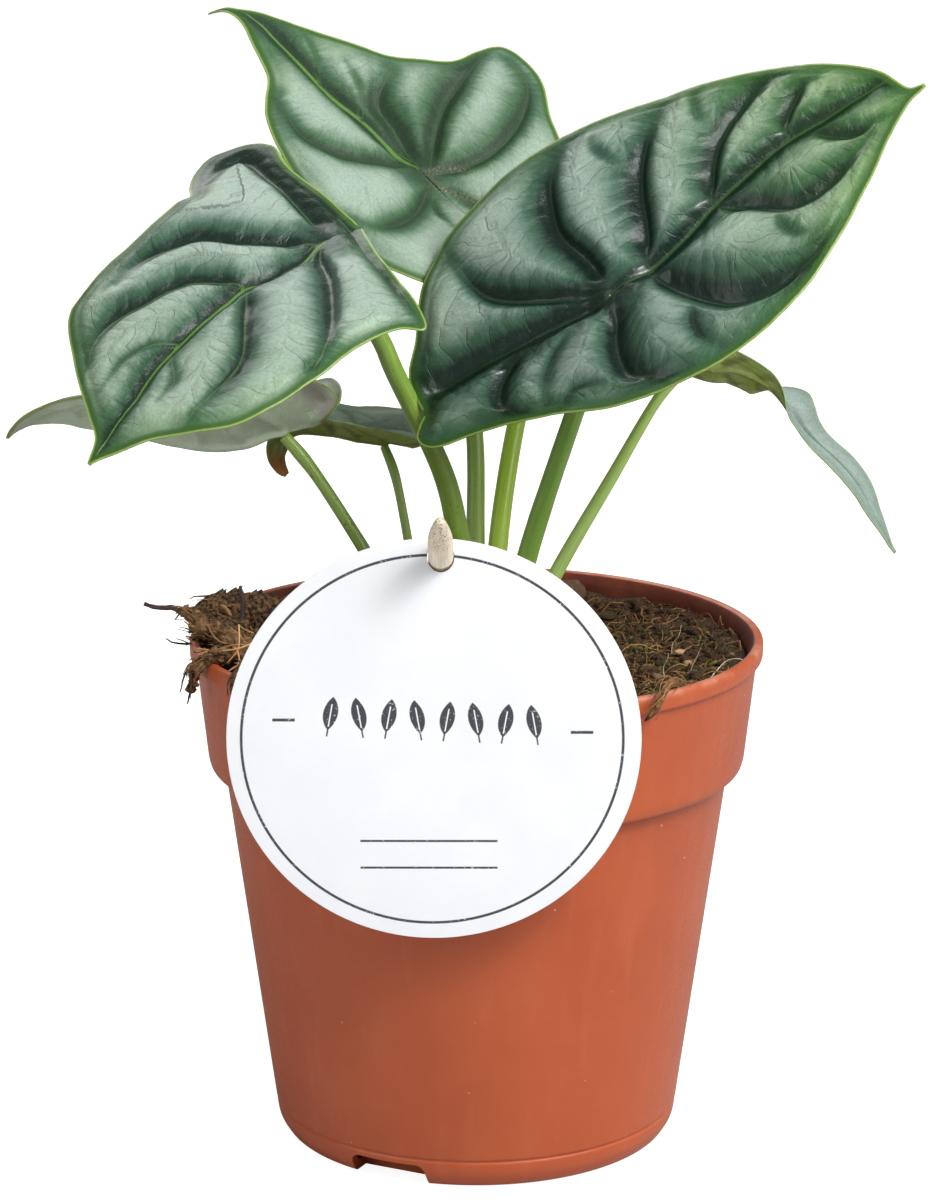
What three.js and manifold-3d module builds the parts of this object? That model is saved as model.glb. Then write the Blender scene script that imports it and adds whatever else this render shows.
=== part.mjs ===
// Potted silver dragon alocasia: a terracotta coloured nursery pot of soil, seven leaves on
// their stalks, a round card on a bamboo stick and a tuft of roots hanging over the rim.
// Millimetres, +Z up. The origin is the middle of the pot's flat base, the front is -Y.
import * as THREE from "three";
import { mergeVertices } from "three/addons/utils/BufferGeometryUtils.js";
import Module from "manifold-3d";

const wasm = await Module();
wasm.setup();

// Clearance between pieces that touch
const GAP = 0.3;

// Pot
const POT_HEIGHT = 107.4;
const RIM_RADIUS = 60;
const BASE_RADIUS = 42;
const BASE_CORNER = 3;
const WALL = 1.5;
const FLOOR = 2;
const COLLAR_HEIGHT = 27;
const COLLAR_STEP = 3.2;
const BODY_TOP_RADIUS = 53;
const BEAD_HEIGHT = 3.4;
const BEAD_OUT = 1.3;
const RIM_ROUND = 0.7;
const STEP_ROUND = 1.6;
const POT_SIDES = 64;
const NOTCH = { count: 3, firstAngle: -116, width: 17, height: 4.8, depth: 7, round: 2 };

// Heights and radii that follow from those
const STEP_Z = POT_HEIGHT - COLLAR_HEIGHT;
const BEAD_Z = POT_HEIGHT - BEAD_HEIGHT;
const COLLAR_LOW = BODY_TOP_RADIUS + COLLAR_STEP;
const COLLAR_HIGH = RIM_RADIUS - BEAD_OUT;

// Soil, and the crown that the larger stalks grow from
const SOIL_TOP = 101.6;
const SOIL_RELIEF = 0.5;
const SOIL_SIDES = 36;
const SOIL_SLACK = 0.3;
const CROWN = { x: 2.5, y: 0, radius: 6.4, foot: 90, shoulder: 102, top: 105.5 };

// Card and bamboo stick
const CARD = { x: -8.3, z: 101.6, radius: 40.6, thickness: 0.6 };
const STICK = { radius: 2.45, rise: 32, x: -6.9, z: 138.3, ahead: 22, behind: 72 };

const BLADE_THICKNESS = 0.6;

// Each blade is drawn flat, then bent. Its outline lists [along, across] from the tip round
// to the notch at the back, with the stalk's joint at [0, 0]. The midrib leaves the joint at
// heading and rise, turns down by droop and sideways by sway. Roll tips the blade about the
// midrib, fold lifts each half from it and cup curls the halves: [back, joint, tip], degrees.
const LEAVES = {
  front_right: {
    node: [28.5, -22, 183.5],
    heading: 3, rise: 37, droopTip: 12, droopBack: -5,
    roll: [38, 38, 34],
    foldLeft: [12, 12, 6], foldRight: [12, 16, 6],
    cupLeft: -16, cupRight: -24,
    tip: 73, back: 46, wide: 40, swayTip: 6, swayBack: 8,
    left: [
      [73, 0], [67, 9.5], [60, 17], [46, 27.5], [32, 33.5], [18, 38.5], [6, 41.5], [-7, 41.5],
      [-21, 36.5], [-31, 28], [-38, 17.5], [-44, 9], [-46, 0],
    ],
    right: [
      [73, 0], [67, 0], [61, -7], [52, -16.5], [42, -23.5], [31, -29.5], [18, -32.5], [4, -32],
      [-13, -26.5], [-26, -18.5], [-38, -13], [-48, -11], [-50, -6], [-46, 0],
    ],
    rows: 18, columns: 10,
  },
  front_left: {
    node: [-30, -20, 192.5],
    heading: 226, rise: -12, droopTip: 28, droopBack: 14,
    roll: [-15, -15, -10],
    foldLeft: [12, 12, 4], foldRight: [12, 12, 4],
    cupLeft: -22, cupRight: -22,
    tip: 75, back: 20, wide: 36, swayTip: 4, swayBack: 0,
    left: [
      [75, 0], [69, 6.5], [65, 11], [57, 22], [47.5, 27], [35, 30], [23.5, 30.5], [15, 33],
      [10.5, 36.5], [6, 30], [0, 17], [-4, 9], [-10, 0],
    ],
    right: [
      [75, 0], [70, -2], [66, -6.5], [57, -17], [46, -28], [36, -30.5], [21, -30.5], [10, -32],
      [7, -31.5], [4, -35], [-2, -40], [-11, -43], [-19, -40], [-21, -33], [-15, -23], [-10, 0],
    ],
    rows: 18, columns: 10,
  },
  back: {
    node: [-11.5, 32, 198.5],
    heading: 152, rise: 39, droopTip: 5, droopBack: 0,
    roll: [-26, -26, -20],
    foldLeft: [22, 22, 4], foldRight: [14, 14, 4],
    cupLeft: -16, cupRight: -20,
    tip: 58, back: 28, wide: 40, swayTip: 4, swayBack: 0,
    left: [
      [58, 0], [51, 1.5], [45, 5], [37, 10], [32, 16.5], [27, 21.5], [18, 27], [6, 31.5],
      [-8, 32.5], [-17, 30.5], [-25, 25], [-30, 15], [-29, 6], [-24, 0],
    ],
    right: [
      [58, 0], [54, -4], [49, -7.5], [41, -10], [28, -18], [21, -24], [17, -29], [16, -35],
      [14, -41], [8, -42], [2, -40], [-6, -34], [-15, -29], [-25, -24], [-31, -16], [-29, -6],
      [-24, 0],
    ],
    rows: 18, columns: 10,
  },
  left_side: {
    node: [-40, 6, 148.5],
    heading: 180, rise: -20, droopTip: -46, droopBack: 36,
    roll: [0, 0, 0],
    foldLeft: [46, 46, 52], foldRight: [24, 24, 40],
    cupLeft: 20, cupRight: -20,
    tip: 57, back: 17, wide: 24, swayTip: 0, swayBack: 0,
    both: [
      [57, 0], [53, 5], [46, 11], [36, 17], [22, 21], [8, 22.5], [0, 22], [-8, 20], [-14, 14],
      [-17, 7], [-15, 2], [-8, 0],
    ],
    rows: 14, columns: 8,
  },
  small_drooping: {
    node: [-19.5, 18, 144],
    heading: 182, rise: 10, droopTip: 88, droopBack: 14,
    roll: [0, 0, 0],
    foldLeft: [28, 28, 20], foldRight: [20, 20, 12],
    cupLeft: -10, cupRight: -24,
    tip: 27, back: 15, wide: 15, swayTip: 0, swayBack: 0,
    both: [
      [27, 0], [24, 2], [19, 5.5], [13, 9.5], [6, 12.5], [0, 13], [-7, 12], [-13, 8.5], [-15, 4.5],
      [-13.5, 1.5], [-8, 0],
    ],
    rows: 12, columns: 6,
  },
  twisted_right: {
    node: [44, 8, 163],
    heading: 0, rise: -13, droopTip: 62, droopBack: 20,
    roll: [-58, -58, 46],
    foldLeft: [10, 10, 8], foldRight: [14, 14, 10],
    cupLeft: -10, cupRight: -10,
    tip: 62, back: 14, wide: 14, swayTip: 0, swayBack: 0,
    both: [
      [62, 0], [56, 2.5], [46, 6], [34, 8.5], [20, 9.5], [8, 9.5], [-3, 9], [-10, 7], [-13, 4],
      [-12, 1.5], [-7, 0],
    ],
    rows: 16, columns: 6,
  },
  hidden_back: {
    node: [14.5, 30, 163.5],
    heading: 70, rise: 14, droopTip: 34, droopBack: 10,
    roll: [0, 0, 0],
    foldLeft: [14, 14, 8], foldRight: [14, 14, 8],
    cupLeft: -16, cupRight: -16,
    tip: 44, back: 14, wide: 16, swayTip: 0, swayBack: 0,
    both: [
      [44, 0], [39, 2], [31, 6], [21, 10.5], [10, 13.5], [0, 14], [-7, 13], [-12, 9.5], [-14, 5],
      [-13, 2], [-8, 0],
    ],
    rows: 12, columns: 8,
  },
};

// Stalks: points from the ground to the blade, with the radius at each end
const STALKS = {
  front_left: {
    path: [[-1.5, -4, 100], [-2, -6, 118], [-4, -9, 132], [-7.3, -11, 145.4], [-16.3, -16, 165.6],
      [-19.3, -17, 172.9], [-25.5, -19, 184], [-30, -20, 192]],
    radii: [2.1, 1.5],
  },
  front_right: {
    path: [[5.5, -3.5, 100], [10.4, -8, 125.6], [20, -15, 158], [28, -21.5, 183]],
    radii: [2.1, 1.7],
  },
  back: {
    path: [[0, 4, 100], [-0.2, 12, 124], [-0.7, 20, 148.5], [-6, 28, 173], [-11.5, 32, 198]],
    radii: [1.9, 1.5],
  },
  hidden_back: {
    path: [[4, 5, 100], [4.5, 11, 123.5], [8.8, 22, 149.5], [14.3, 30, 163]],
    radii: [1.9, 1.4],
  },
  twisted_right: {
    path: [[7.5, 1, 100], [16.7, 3, 119.7], [27.9, 5, 139.2], [37.6, 7, 155.8], [43.7, 8, 162.6]],
    radii: [1.8, 1.1],
  },
  left_side: {
    path: [[-12.5, 2, 96], [-15.5, 2, 111], [-23.5, 2, 125], [-33.5, 4, 140.5], [-40, 6, 148.2]],
    radii: [1.4, 1.1],
  },
  small_drooping: {
    path: [[-10.5, 7, 96], [-12, 8, 110], [-14.5, 10, 125.5], [-17, 14, 137.5], [-19.5, 18, 143.5]],
    radii: [0.9, 0.8],
  },
};

// Root tuft: squashed balls [centre, radii], and the loose twigs that stick out of it
const TUFT = [
  { at: [-52, -6, 107], radii: [7, 12, 5] },
  { at: [-57, -11, 109.5], radii: [6, 9, 3.5] },
  { at: [-60, -8, 105.5], radii: [3.4, 7, 6.5] },
  { at: [-60.5, -6, 99.5], radii: [2.4, 3, 7] },
];
const TWIGS = [
  { path: [[-56, -7, 110.5], [-60, -5.5, 113.3], [-65, -5, 114.4], [-69, -5, 115]], radius: 0.7 },
  { path: [[-51, -3, 109], [-49.6, -1, 113.5], [-49.4, 0, 117.8]], radius: 0.7 },
];

const COLOURS = {
  pot: "#b25f3a",
  soil: "#3d2a1c",
  crown: "#6f7f3a",
  blade: "#6f8f7c",
  stalk: "#7a9a3c",
  card: "#f4f5f7",
  stick: "#dcc8a4",
  tuft: "#4a3423",
};

const group = new THREE.Group();

// Adds one finished piece to the object
function addPiece(name, geometry, colour, roughness) {
  const material = new THREE.MeshStandardMaterial({ color: colour, roughness, metalness: 0 });
  const mesh = new THREE.Mesh(geometry, material);
  mesh.name = name;
  group.add(mesh);
}

// A closed geometry as a solid that can be joined and cut
function toSolid(geometry) {
  const bare = geometry.clone();
  bare.deleteAttribute("normal");
  bare.deleteAttribute("uv");
  const merged = mergeVertices(bare, 1e-4);
  const vertProperties = new Float32Array(merged.attributes.position.array);
  const triVerts = new Uint32Array(merged.index.array);
  const solid = new wasm.Manifold(new wasm.Mesh({ numProp: 3, vertProperties, triVerts }));
  return solid;
}

// The largest body of a solid, back as a geometry
function toGeometry(solid) {
  const bodies = solid.decompose();
  bodies.sort((a, b) => b.volume() - a.volume());
  const mesh = bodies[0].getMesh();
  const geometry = new THREE.BufferGeometry();
  geometry.setAttribute("position", new THREE.BufferAttribute(mesh.vertProperties, 3));
  geometry.setIndex(new THREE.BufferAttribute(mesh.triVerts, 1));
  geometry.computeVertexNormals();
  return geometry;
}

function lathe(profile, sides) {
  const points = profile.map(([radius, z]) => new THREE.Vector2(radius, z));
  const geometry = new THREE.LatheGeometry(points, sides);
  geometry.rotateX(Math.PI / 2);
  return geometry;
}

// A round bar that follows a smooth curve and tapers from one radius to the other
function taperedTube(path, radii, steps, sides, grow = 0) {
  const curve = new THREE.CatmullRomCurve3(path.map((p) => new THREE.Vector3(...p)));
  const frames = curve.computeFrenetFrames(steps, false);
  const geometry = new THREE.CylinderGeometry(1, 1, 1, sides, steps);
  const position = geometry.attributes.position;
  const centre = new THREE.Vector3();
  for (let i = 0; i < position.count; i += 1) {
    const along = 0.5 - position.getY(i);
    const step = Math.round(along * steps);
    const radius = THREE.MathUtils.lerp(radii[0], radii[1], along) + grow;
    curve.getPointAt(step / steps, centre);
    if (step === 0 || step === steps) {
      centre.addScaledVector(frames.tangents[step], step === 0 ? -grow : grow);
    }
    centre.addScaledVector(frames.normals[step], radius * position.getX(i));
    centre.addScaledVector(frames.binormals[step], radius * position.getZ(i));
    position.setXYZ(i, centre.x, centre.y, centre.z);
  }
  return geometry;
}

// A stretch of an arc that starts at an angle and turns by so much over the given length
function arc(angle, turn, distance, length) {
  const bend = turn / length || 1e-9;
  const end = angle + bend * distance;
  return {
    run: (Math.sin(end) - Math.sin(angle)) / bend,
    lift: (Math.cos(angle) - Math.cos(end)) / bend,
    angle: end,
  };
}

// Blends [back, joint, tip] values along the midrib
function blend([back, joint, tip], leaf, along) {
  const reach = along >= 0 ? along / leaf.tip : -along / leaf.back;
  const eased = THREE.MathUtils.smoothstep(reach, 0, 1);
  return joint + ((along >= 0 ? tip : back) - joint) * eased;
}

// The point of a bent blade at [along, across] of its flat outline, lifted off its surface
function bladePoint(leaf, along, across, lift) {
  const radians = THREE.MathUtils.degToRad;
  const forward = along >= 0;
  const turn = forward ? -radians(leaf.droopTip) : radians(leaf.droopBack);
  const length = forward ? leaf.tip : -leaf.back;
  const rib = arc(radians(leaf.rise), forward ? turn : -turn, along, length);
  const heading = radians(leaf.heading);
  const level = new THREE.Vector3(Math.cos(heading), Math.sin(heading), 0);
  const side = new THREE.Vector3(-Math.sin(heading), Math.cos(heading), 0);
  const ahead = level.clone().multiplyScalar(Math.cos(rib.angle));
  ahead.z = Math.sin(rib.angle);
  const up = ahead.clone().cross(side);

  const roll = radians(blend(leaf.roll, leaf, along));
  const rolledSide = side.clone().multiplyScalar(Math.cos(roll));
  rolledSide.addScaledVector(up, Math.sin(roll));
  const rolledUp = up.clone().multiplyScalar(Math.cos(roll));
  rolledUp.addScaledVector(side, -Math.sin(roll));

  const isLeft = across >= 0;
  const sign = isLeft ? 1 : -1;
  const fold = radians(blend(isLeft ? leaf.foldLeft : leaf.foldRight, leaf, along));
  const cup = radians(isLeft ? leaf.cupLeft : leaf.cupRight);
  const half = arc(fold, cup, Math.abs(across), leaf.wide);
  const sway = forward ? leaf.swayTip : leaf.swayBack;
  const drift = sway * (along / length) ** 2;

  const point = new THREE.Vector3(...leaf.node);
  point.addScaledVector(level, rib.run);
  point.z += rib.lift;
  point.addScaledVector(rolledSide, sign * (half.run - lift * Math.sin(half.angle)) + drift);
  point.addScaledVector(rolledUp, half.lift + lift * Math.cos(half.angle));
  return point;
}

// A blade as a thin closed sheet of ribs that fan out from the midrib to the edge
const END_TRIM = 0.012;
const END_WIDTH = 0.35;
const RIB_LAG = 1.35;

function bladeSheet(leaf, thickness) {
  const curveOf = (points) => new THREE.SplineCurve(points.map((p) => new THREE.Vector2(...p)));
  const left = curveOf(leaf.left ?? leaf.both);
  const right = curveOf(leaf.right ?? leaf.both.map(([along, across]) => [along, -across]));
  const outline = leaf.left ?? leaf.both;
  const notch = outline[outline.length - 1][0];
  const geometry = new THREE.BoxGeometry(2, 1, 1, leaf.columns, leaf.rows, 1);
  const position = geometry.attributes.position;
  for (let i = 0; i < position.count; i += 1) {
    const out = -position.getX(i);
    const t = THREE.MathUtils.lerp(END_TRIM, 1 - END_TRIM, position.getY(i) + 0.5);
    const ribStart = THREE.MathUtils.lerp(notch, leaf.tip, t ** RIB_LAG);
    const edge = (out >= 0 ? left : right).getPointAt(1 - t);
    const reach = Math.abs(out);
    const along = THREE.MathUtils.lerp(ribStart, edge.x, reach);
    const across = edge.y * reach + END_WIDTH * out;
    const point = bladePoint(leaf, along, across, position.getZ(i) * thickness);
    position.setXYZ(i, point.x, point.y, point.z);
  }
  return geometry;
}

// Pot: one moulded shell, turned about +Z, with drain notches in its bottom corner
function potProfile() {
  const slope = (BODY_TOP_RADIUS - BASE_RADIUS) / STEP_Z;
  return [
    [0, 0],
    [BASE_RADIUS - BASE_CORNER, 0],
    [BASE_RADIUS - BASE_CORNER * 0.3, BASE_CORNER * 0.35],
    [BASE_RADIUS + slope * BASE_CORNER, BASE_CORNER],
    [BODY_TOP_RADIUS, STEP_Z - STEP_ROUND * 0.4],
    [COLLAR_LOW - STEP_ROUND * 0.75, STEP_Z],
    [COLLAR_LOW, STEP_Z + STEP_ROUND],
    [COLLAR_HIGH, BEAD_Z - RIM_ROUND * 0.6],
    [RIM_RADIUS - RIM_ROUND * 0.4, BEAD_Z],
    [RIM_RADIUS, BEAD_Z + RIM_ROUND],
    [RIM_RADIUS, POT_HEIGHT - RIM_ROUND],
    [RIM_RADIUS - RIM_ROUND, POT_HEIGHT],
    [RIM_RADIUS - WALL, POT_HEIGHT],
    [COLLAR_HIGH - WALL, POT_HEIGHT - STEP_ROUND],
    [COLLAR_LOW - WALL, STEP_Z + STEP_ROUND],
    [BODY_TOP_RADIUS - WALL, STEP_Z - STEP_ROUND * 0.75],
    [BASE_RADIUS - WALL, FLOOR + WALL],
    [BASE_RADIUS - WALL * 2, FLOOR],
    [0, FLOOR],
  ];
}

function drainNotch(angle) {
  const outline = new THREE.Shape();
  const half = NOTCH.width / 2;
  const overrun = 2;
  outline.moveTo(-half, -overrun);
  outline.lineTo(half, -overrun);
  outline.lineTo(half, NOTCH.height - NOTCH.round);
  outline.quadraticCurveTo(half, NOTCH.height, half - NOTCH.round, NOTCH.height);
  outline.lineTo(NOTCH.round - half, NOTCH.height);
  outline.quadraticCurveTo(-half, NOTCH.height, -half, NOTCH.height - NOTCH.round);
  outline.closePath();
  const options = { depth: NOTCH.depth + overrun, bevelEnabled: false, curveSegments: 4 };
  const cutter = new THREE.ExtrudeGeometry(outline, options);
  cutter.rotateX(Math.PI / 2);
  cutter.rotateZ(Math.PI);
  cutter.translate(0, BASE_RADIUS - NOTCH.depth, 0);
  cutter.rotateZ(THREE.MathUtils.degToRad(angle - 90));
  return toSolid(cutter);
}

let potSolid = toSolid(lathe(potProfile(), POT_SIDES));
for (let i = 0; i < NOTCH.count; i += 1) {
  potSolid = potSolid.subtract(drainNotch(NOTCH.firstAngle + (i * 360) / NOTCH.count));
}
addPiece("pot", toGeometry(potSolid), COLOURS.pot, 0.45);

// Blades
for (const [name, leaf] of Object.entries(LEAVES)) {
  const sheet = toSolid(bladeSheet(leaf, BLADE_THICKNESS));
  addPiece(`leaf_${name}`, toGeometry(sheet), COLOURS.blade, 0.4);
}

// Crown: the stub of stem at the soil line
const crownProfile = (grow) => [
  [0, CROWN.foot - grow],
  [CROWN.radius * 0.8 + grow, CROWN.foot - grow],
  [CROWN.radius + grow, CROWN.shoulder],
  [CROWN.radius * 0.6 + grow, CROWN.top - 1 + grow],
  [0, CROWN.top + grow],
];
const crownBody = (grow) => lathe(crownProfile(grow), 24).translate(CROWN.x, CROWN.y, 0);
addPiece("crown", crownBody(0), COLOURS.crown, 0.6);
const crownClear = toSolid(crownBody(GAP));

// Stalks: each stops short of the crown, its own blade and the stalks made before it
const STALK_SIDES = 8;
const STALK_STEPS = 12;
const stalkClear = [];
for (const [name, stalk] of Object.entries(STALKS)) {
  const blade = LEAVES[name];
  const tube = (grow) => taperedTube(stalk.path, stalk.radii, STALK_STEPS, STALK_SIDES, grow);
  let solid = toSolid(tube(0)).subtract(crownClear);
  solid = solid.subtract(toSolid(bladeSheet(blade, BLADE_THICKNESS + 2 * GAP)));
  for (const other of stalkClear) {
    solid = solid.subtract(other);
  }
  stalkClear.push(toSolid(tube(GAP)));
  addPiece(`stalk_${name}`, toGeometry(solid), COLOURS.stalk, 0.4);
}

// Bamboo stick: a straight round stick with a rounded top, through the card and into the soil
function stickBody(grow) {
  const radius = STICK.radius + grow;
  const low = -STICK.behind - grow;
  const high = STICK.ahead + grow;
  const profile = [[0, low], [radius, low], [radius, high - radius]];
  for (const angle of [30, 60]) {
    const turned = THREE.MathUtils.degToRad(angle);
    profile.push([radius * Math.cos(turned), high - radius + radius * Math.sin(turned)]);
  }
  profile.push([0, high]);
  const stick = lathe(profile, 16);
  stick.rotateX(THREE.MathUtils.degToRad(90 - STICK.rise));
  return stick.translate(STICK.x, -RIM_RADIUS - GAP, STICK.z);
}
addPiece("bamboo_stick", stickBody(0), COLOURS.stick, 0.6);
const stickClear = toSolid(stickBody(GAP));

// Card: a flat disc that leans on the front of the rim, with the stick through its top
const disc = new THREE.CylinderGeometry(CARD.radius, CARD.radius, CARD.thickness, 64);
disc.translate(CARD.x, -RIM_RADIUS - GAP - CARD.thickness / 2, CARD.z);
addPiece("label_card", toGeometry(toSolid(disc).subtract(stickClear)), COLOURS.card, 0.7);

// Soil: fills the pot to a rough top, with sockets for the crown, the stick and the stalks
function soilBody() {
  const inset = WALL + GAP + SOIL_SLACK;
  const upTheCollar = (SOIL_TOP - STEP_Z) / COLLAR_HEIGHT;
  const topRadius = THREE.MathUtils.lerp(COLLAR_LOW, COLLAR_HIGH, upTheCollar) - inset;
  const floor = FLOOR + GAP;
  const plugRadius = BASE_RADIUS - NOTCH.depth - 1;
  const plugTop = NOTCH.height + 1;
  const profile = [
    [0, floor],
    [plugRadius, floor],
    [plugRadius, plugTop],
    [BASE_RADIUS - inset, plugTop],
    [BODY_TOP_RADIUS - inset, STEP_Z - STEP_ROUND],
    [COLLAR_LOW - inset, STEP_Z + STEP_ROUND * 1.5],
    [topRadius, SOIL_TOP],
  ];
  const rings = 6;
  for (let ring = rings - 1; ring >= 0; ring -= 1) {
    profile.push([(topRadius * ring) / rings, SOIL_TOP]);
  }
  const body = lathe(profile, SOIL_SIDES);
  const position = body.attributes.position;
  for (let i = 0; i < position.count; i += 1) {
    const x = position.getX(i);
    const y = position.getY(i);
    const z = position.getZ(i);
    if (z > SOIL_TOP - 0.01) {
      const relief = Math.sin(x * 0.31 + 1) * Math.cos(y * 0.27) + Math.sin((x + y) * 0.17);
      position.setZ(i, z + (SOIL_RELIEF * relief) / 2);
    }
  }
  return toSolid(body);
}

let soilSolid = soilBody().subtract(crownClear).subtract(stickClear);
for (const clear of stalkClear) {
  soilSolid = soilSolid.subtract(clear);
}
addPiece("soil", toGeometry(soilSolid), COLOURS.soil, 1);

// Root tuft: lies on the soil and over the rim, and hangs down outside it
function ballBody({ at, radii }) {
  const ball = new THREE.IcosahedronGeometry(1, 2);
  ball.scale(...radii);
  ball.translate(...at);
  return toSolid(ball);
}

const rimClear = lathe(
  [
    [COLLAR_LOW - WALL - GAP, STEP_Z],
    [COLLAR_LOW + GAP, STEP_Z],
    [COLLAR_HIGH + GAP, BEAD_Z - RIM_ROUND],
    [RIM_RADIUS + GAP, BEAD_Z],
    [RIM_RADIUS + GAP, POT_HEIGHT + GAP],
    [COLLAR_HIGH - WALL - GAP, POT_HEIGHT + GAP],
    [COLLAR_LOW - WALL - GAP, STEP_Z],
  ],
  POT_SIDES,
);

const [firstBall, ...otherBalls] = TUFT;
let tuftSolid = ballBody(firstBall);
for (const ball of otherBalls) {
  tuftSolid = tuftSolid.add(ballBody(ball));
}
for (const twig of TWIGS) {
  tuftSolid = tuftSolid.add(toSolid(taperedTube(twig.path, [twig.radius, twig.radius], 6, 6)));
}
const clearDepth = 20;
const clearRadius = COLLAR_HIGH - WALL - GAP;
const soilClear = new THREE.CylinderGeometry(clearRadius, clearRadius, clearDepth, SOIL_SIDES);
soilClear.rotateX(Math.PI / 2);
soilClear.translate(0, 0, SOIL_TOP + SOIL_RELIEF + GAP - clearDepth / 2);
tuftSolid = tuftSolid.subtract(toSolid(rimClear)).subtract(toSolid(soilClear));
addPiece("root_tuft", toGeometry(tuftSolid), COLOURS.tuft, 1);

export default group;
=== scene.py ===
import math

import bpy
import numpy as np
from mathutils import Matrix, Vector, noise


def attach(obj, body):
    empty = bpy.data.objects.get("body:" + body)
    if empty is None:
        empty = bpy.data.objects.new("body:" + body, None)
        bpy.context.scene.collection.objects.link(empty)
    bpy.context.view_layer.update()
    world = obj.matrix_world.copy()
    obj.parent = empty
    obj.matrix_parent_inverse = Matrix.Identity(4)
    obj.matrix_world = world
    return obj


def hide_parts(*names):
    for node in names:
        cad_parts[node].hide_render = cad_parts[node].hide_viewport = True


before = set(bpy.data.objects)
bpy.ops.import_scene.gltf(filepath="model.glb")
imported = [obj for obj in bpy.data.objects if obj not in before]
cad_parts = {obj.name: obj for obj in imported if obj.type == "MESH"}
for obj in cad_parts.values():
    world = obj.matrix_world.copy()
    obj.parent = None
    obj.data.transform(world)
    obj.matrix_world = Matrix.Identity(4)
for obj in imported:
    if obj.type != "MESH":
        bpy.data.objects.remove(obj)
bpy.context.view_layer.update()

# Potted silver dragon alocasia: a terracotta coloured nursery pot of soil, seven leaves on
# their stalks, a round card on a bamboo stick, and dried roots that hang over the rim.
# Shapes are made in millimetres in the CAD frame, and make_piece() writes them in metres.
MM = 0.001
scene = bpy.context.scene
chance = np.random.default_rng(20)

# Pot, soil, card and stick, as in the CAD model
POT_HEIGHT = 107.4
RIM_RADIUS = 60
BASE_RADIUS = 42
WALL = 1.5
FLOOR = 2
STEP_Z = 80.4
BODY_TOP_RADIUS = 53
COLLAR_LOW = 56.2
COLLAR_HIGH = 58.7
BEAD_Z = 104
NOTCH_ANGLES = (-116, 4, 124)
POT_SIDES = 224
NOTCH = {"width": 17, "height": 4.8, "depth": 7, "round": 2}
SOIL_TOP = 101.6
SOIL_RADIUS = 56.2
CROWN = {"x": 2.5, "y": 0, "radius": 6.4, "foot": 92, "top": 105.5}
CARD = {"x": -8.3, "y": -60.6, "z": 101.6, "radius": 40.6, "thickness": 0.6}
STICK = {"radius": 2.45, "rise": 32, "x": -6.9, "y": -60.3, "z": 138.3, "ahead": 22, "behind": 72}
BLADE_THICKNESS = 0.55

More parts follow.
